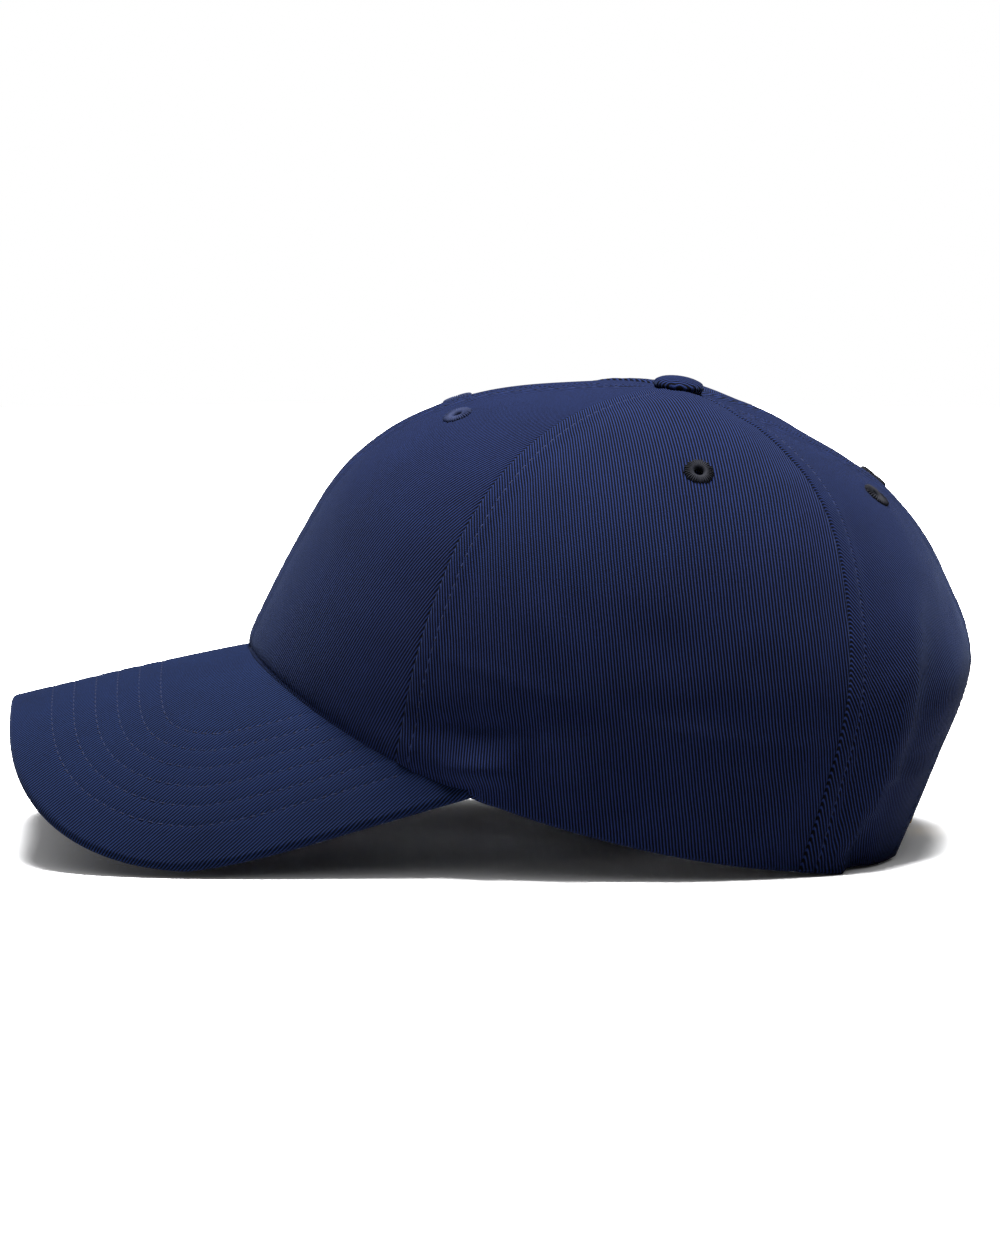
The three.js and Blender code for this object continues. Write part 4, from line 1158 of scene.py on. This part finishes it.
def arch_place(turn, outset):
    """Angle and share of the crown point that lies on the arch's outline pushed out by outset."""
    turn, outset = np.broadcast_arrays(turn, outset)
    x = (ARCH_HALF_WIDTH + outset) * np.cos(turn)
    z = (ARCH_HEIGHT + outset) * np.sin(turn)
    angle = np.pi - np.arctan2(x, CROWN_HALF_LENGTH)
    for _ in range(12):
        low, high = np.full(x.shape, 0.5), np.ones(x.shape)
        for _ in range(22):
            middle = (low + high) / 2
            above = crown_base(angle, middle)[..., 2] > z
            low, high = np.where(above, middle, low), np.where(above, high, middle)
        share = (low + high) / 2
        centre = spline(LEVEL_CENTRES, share)[..., 0] + CROWN_CENTRE_Y
        point = crown_base(angle, share)
        reach = np.hypot(point[..., 0], point[..., 1] - centre)
        angle = np.pi - np.arcsin(np.clip(x / reach, -1, 1))
    return angle, share


BINDING_DEPTH = LINING_DEPTH + 0.2
BINDING_TURN = 30
BINDING_START = 0.4  # how far from the arch's edge the binding begins
BINDING_STITCHES = 4.2  # and how far from it the stitches run


def make_arch_binding():
    def face(across, down, level):
        outset = BINDING_START + (ARCH_BINDING_WIDTH - BINDING_START) * down
        return crown_layer(*arch_place(np.pi * (0.004 + 0.992 * across), outset), level)

    layer("arch_binding_cloth", "arch_binding", face, edged(110, 0.004), edged(7, 0.05), BINDING_DEPTH,
          LINING_THICKNESS, TWILL, "cotton_twill", turn=BINDING_TURN)
    angle, share = arch_place(np.linspace(0.03, np.pi - 0.03, 220), BINDING_STITCHES)
    normal = crown_normal(angle, share)
    for name, depth, out in (("outside", 0.0, 1), ("inside", BINDING_DEPTH + LINING_THICKNESS, -1)):
        stitches(f"arch_stitches_{name}", [(crown_layer(angle, share, depth), out * normal)], SEAM_THREAD)


def strap_point(angle, height, depth):
    radius = STRAP_RADIUS + height * math.tan(STRAP_LEAN) - depth * math.cos(STRAP_LEAN)
    return np.stack(np.broadcast_arrays(
        radius * np.sin(angle), STRAP_AXIS_Y + radius * np.cos(angle),
        height + depth * math.sin(STRAP_LEAN)), -1)


def strap_outward(angle):
    return np.stack(np.broadcast_arrays(
        math.cos(STRAP_LEAN) * np.sin(angle), math.cos(STRAP_LEAN) * np.cos(angle),
        -math.sin(STRAP_LEAN)), -1)


STRAP_TURN = 35
STRAP_STITCH_INSET = 2.2
STRAP_GROOVE = 0.16
STRAP_STITCH_DEPTH = 0.1


def make_strap():
    def face(across, down, level):
        angle = STRAP_FREE_END + (STRAP_SEWN_END - STRAP_FREE_END) * across
        edge = np.minimum(down, 1 - down) * STRAP_RISE
        groove = STRAP_GROOVE * hump(edge - STRAP_STITCH_INSET, 0.5) * np.sign(STRAP_THICKNESS / 2 - level)
        return strap_point(angle, STRAP_BOTTOM + STRAP_RISE * down, level + groove)

    layer("strap_cloth", "strap", face, edged(90, 0.004), edged(30, 0.012), 0, STRAP_THICKNESS, TWILL,
          "cotton_twill", turn=STRAP_TURN, body="strap")
    angle = np.linspace(STRAP_FREE_END + 0.01, STRAP_SEWN_END - 0.01, 120)
    paths = []
    for inset in (STRAP_STITCH_INSET, STRAP_RISE - STRAP_STITCH_INSET):
        for depth, out in ((STRAP_STITCH_DEPTH, 1), (STRAP_THICKNESS - STRAP_STITCH_DEPTH, -1)):
            paths.append((strap_point(angle, STRAP_BOTTOM + inset, depth), out * strap_outward(angle)))
    stitches("strap_stitches", paths, SEAM_THREAD, body="strap")


CLASP_BAR = (12.0, -3.2)  # along the strap to the wearer's right, and out from it
TAB_END = math.radians(-18.2)
TAB_THICKNESS = 0.8
TAB_LOOP = 1.8
TAB_TAIL = 9.0
TAB_PARTS = (0.5, 0.25, 0.25)  # shares of its rows on the strip, the loop round the bar, and the tail


def clasp_point(along, up, out):
    """A point given in the clasp's own directions."""
    cosine, sine = math.cos(CLASP_ANGLE), math.sin(CLASP_ANGLE)
    lean, upright = math.sin(STRAP_LEAN), math.cos(STRAP_LEAN)
    axes = np.array([(-cosine, sine, 0), (sine * lean, cosine * lean, upright),
                     (sine * upright, cosine * upright, -lean)])
    centre = strap_point(np.float64(CLASP_ANGLE), STRAP_BOTTOM + STRAP_RISE / 2, STRAP_THICKNESS / 2)
    return centre + np.stack(np.broadcast_arrays(along, up, out), -1) @ axes


def make_clasp_tab():
    """The tab runs along under the strap, round the clasp's bar and back."""
    bar_along, bar_out = CLASP_BAR
    near = CLASP_ANGLE - bar_along / STRAP_RADIUS
    strip_depth = STRAP_THICKNESS / 2 - (bar_out + TAB_LOOP)
    strip_part, loop_part, tail_part = TAB_PARTS
    loop_end = strip_part + loop_part

    def face(across, down, level):
        height = STRAP_RISE * across
        strip_angle = TAB_END + (near - TAB_END) * ramp(down, strip_part)
        strip = strap_point(strip_angle, STRAP_BOTTOM + height, strip_depth + level)
        turn = np.pi * ramp(down - strip_part, loop_part)
        radius = TAB_LOOP - level
        loop = clasp_point(bar_along - radius * np.sin(turn), height - STRAP_RISE / 2,
                           bar_out + radius * np.cos(turn))
        tail_angle = near - ramp(down - loop_end, tail_part) * TAB_TAIL / STRAP_RADIUS
        tail = strap_point(tail_angle, STRAP_BOTTOM + height, strip_depth + 2 * TAB_LOOP - level)
        after_strip = np.where((down < loop_end)[..., None], loop, tail)
        return np.where((down < strip_part)[..., None], strip, after_strip)

    layer("clasp_tab_cloth", "clasp_tab", face, edged(20, 0.02), edged(80, 0.004), 0, TAB_THICKNESS, TWILL,
          "cotton_twill", turn=STRAP_TURN)


CLASP_BEVEL = 0.28
BUTTON_BEVEL = 0.15
BEVEL_ANGLE = math.radians(40)


def dress_node(name, material, bevel):
    """A CAD node keeps its shape and gets softened edges and its finish."""
    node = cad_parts[name]
    node.data.materials.clear()
    node.data.materials.append(material)
    modifier = node.modifiers.new("softened edges", "BEVEL")
    modifier.width = bevel * MM
    modifier.segments = 3
    modifier.limit_method = "ANGLE"
    modifier.angle_limit = BEVEL_ANGLE


def dress_nodes():
    for name in ("clasp_frame", "clasp_lever", "clasp_pin"):
        dress_node(name, BRASS, CLASP_BEVEL)
    for name in ("button_core", "button_washer"):
        dress_node(name, BUTTON_METAL, BUTTON_BEVEL)


# ---- camera, floor and light ----

CAMERA_DISTANCE = 5.0
CAMERA_HEIGHT_ANGLE = math.radians(8)
CAMERA_TARGET = Vector((0, 0.0031, 0.0614))
VIEW_HEIGHT = 0.3623
SENSOR_HEIGHT = 24
CLIP_END = 50
FLOOR_RADIUS = 1.0
FLOOR_SIDES = 96
FLOOR_Z = -0.0012
FLOOR_SEEN = (0.93, 0.93, 0.94)
FLOOR_LIT = (0.42, 0.42, 0.43)
SKY_SEEN = ((1, 1, 1), 1.0)
SKY_LIT = ((0.9, 0.95, 1.0), 0.035)
SHADOW_REACH = 0.35
SHADOW_FADE = 2.0
SHADOW_GLOW = (1.0, 1.0, 1.0)
LIGHTS = {  # place, width and watts
    "overhead": ((-0.03, 0.04, 1.6), 0.8, 172),
    "front_fill": ((1.3, -1.9, 0.45), 0.5, 4),
}
LIGHT_TARGET = Vector((0, 0.02, 0.06))


def placed(name, data, place, toward):
    """A camera or a lamp that looks at a point."""
    made = bpy.data.objects.new(name, data)
    bpy.context.collection.objects.link(made)
    made.location = place
    made.rotation_euler = (Vector(place) - toward).to_track_quat("Z", "Y").to_euler()
    return made


def make_camera():
    lens = bpy.data.cameras.new("camera")
    lens.sensor_fit = "VERTICAL"
    lens.sensor_height = SENSOR_HEIGHT
    lens.lens = SENSOR_HEIGHT * CAMERA_DISTANCE / VIEW_HEIGHT
    lens.clip_end = CLIP_END
    away = Vector((math.cos(CAMERA_HEIGHT_ANGLE), 0, math.sin(CAMERA_HEIGHT_ANGLE)))
    bpy.context.scene.camera = placed("camera", lens, CAMERA_TARGET + away * CAMERA_DISTANCE, CAMERA_TARGET)


def make_light(name, place, size, power):
    light = bpy.data.lights.new(name, "AREA")
    light.shape = "SQUARE"
    light.size = size
    light.energy = power
    placed(name, light, place, LIGHT_TARGET)


def seen_or_lit(nodes, seen, lit, output):
    """One shader for what the camera sees, and one for what lights the object."""
    is_seen = nodes.add("ShaderNodeLightPath").outputs["Is Camera Ray"]
    mix = nodes.add("ShaderNodeMixShader", (is_seen, 0), (lit, 1), (seen, 2))
    nodes.tree.links.new(mix.outputs[0], nodes.tree.nodes[output].inputs["Surface"])


def make_sky():
    world = bpy.data.worlds.new("studio")
    bpy.context.scene.world = world
    nodes = Nodes(world)
    seen, lit = (nodes.add("ShaderNodeBackground", Color=(*colour, 1), Strength=strength).outputs[0]
                 for colour, strength in (SKY_SEEN, SKY_LIT))
    seen_or_lit(nodes, seen, lit, "World Output")


def paper():
    """The floor's material; a glow lightens what is seen of its shadow, less and less towards the object."""
    material = bpy.data.materials.new("studio_paper")
    nodes = Nodes(material)
    seen, lit = (nodes.add("ShaderNodeBsdfDiffuse", Color=(*colour, 1)).outputs[0]
                 for colour in (FLOOR_SEEN, FLOOR_LIT))
    openness = nodes.add("ShaderNodeAmbientOcclusion", Distance=SHADOW_REACH).outputs["AO"]
    amount = nodes.math("POWER", openness, SHADOW_FADE)
    glow = nodes.add("ShaderNodeEmission", (amount, "Strength"), Color=(*SHADOW_GLOW, 1))
    both = nodes.add("ShaderNodeAddShader", (seen, 0), (glow.outputs[0], 1))
    seen_or_lit(nodes, both.outputs[0], lit, "Material Output")
    return material


def make_floor():
    mesh = bpy.data.meshes.new("floor")
    turns = [2 * math.pi * k / FLOOR_SIDES for k in range(FLOOR_SIDES)]
    mesh.from_pydata([(FLOOR_RADIUS * math.cos(t), FLOOR_RADIUS * math.sin(t), 0) for t in turns], [],
                     [tuple(range(FLOOR_SIDES))])
    mesh.materials.append(paper())
    floor = bpy.data.objects.new("floor", mesh)
    bpy.context.collection.objects.link(floor)
    floor.location.z = FLOOR_Z


def make_studio():
    bpy.context.scene.view_settings.view_transform = "Standard"
    make_sky()
    make_floor()
    for name, (place, size, power) in LIGHTS.items():
        make_light(name, place, size, power)


make_camera()
make_studio()
make_crown()
for side in SIDES:
    for place in PANELS:
        make_eyelet(place, side)
make_button()
make_visor()
make_tapes()
make_stiffener()
make_sweatband()
make_label()
make_arch_binding()
make_strap()
make_clasp_tab()
dress_nodes()
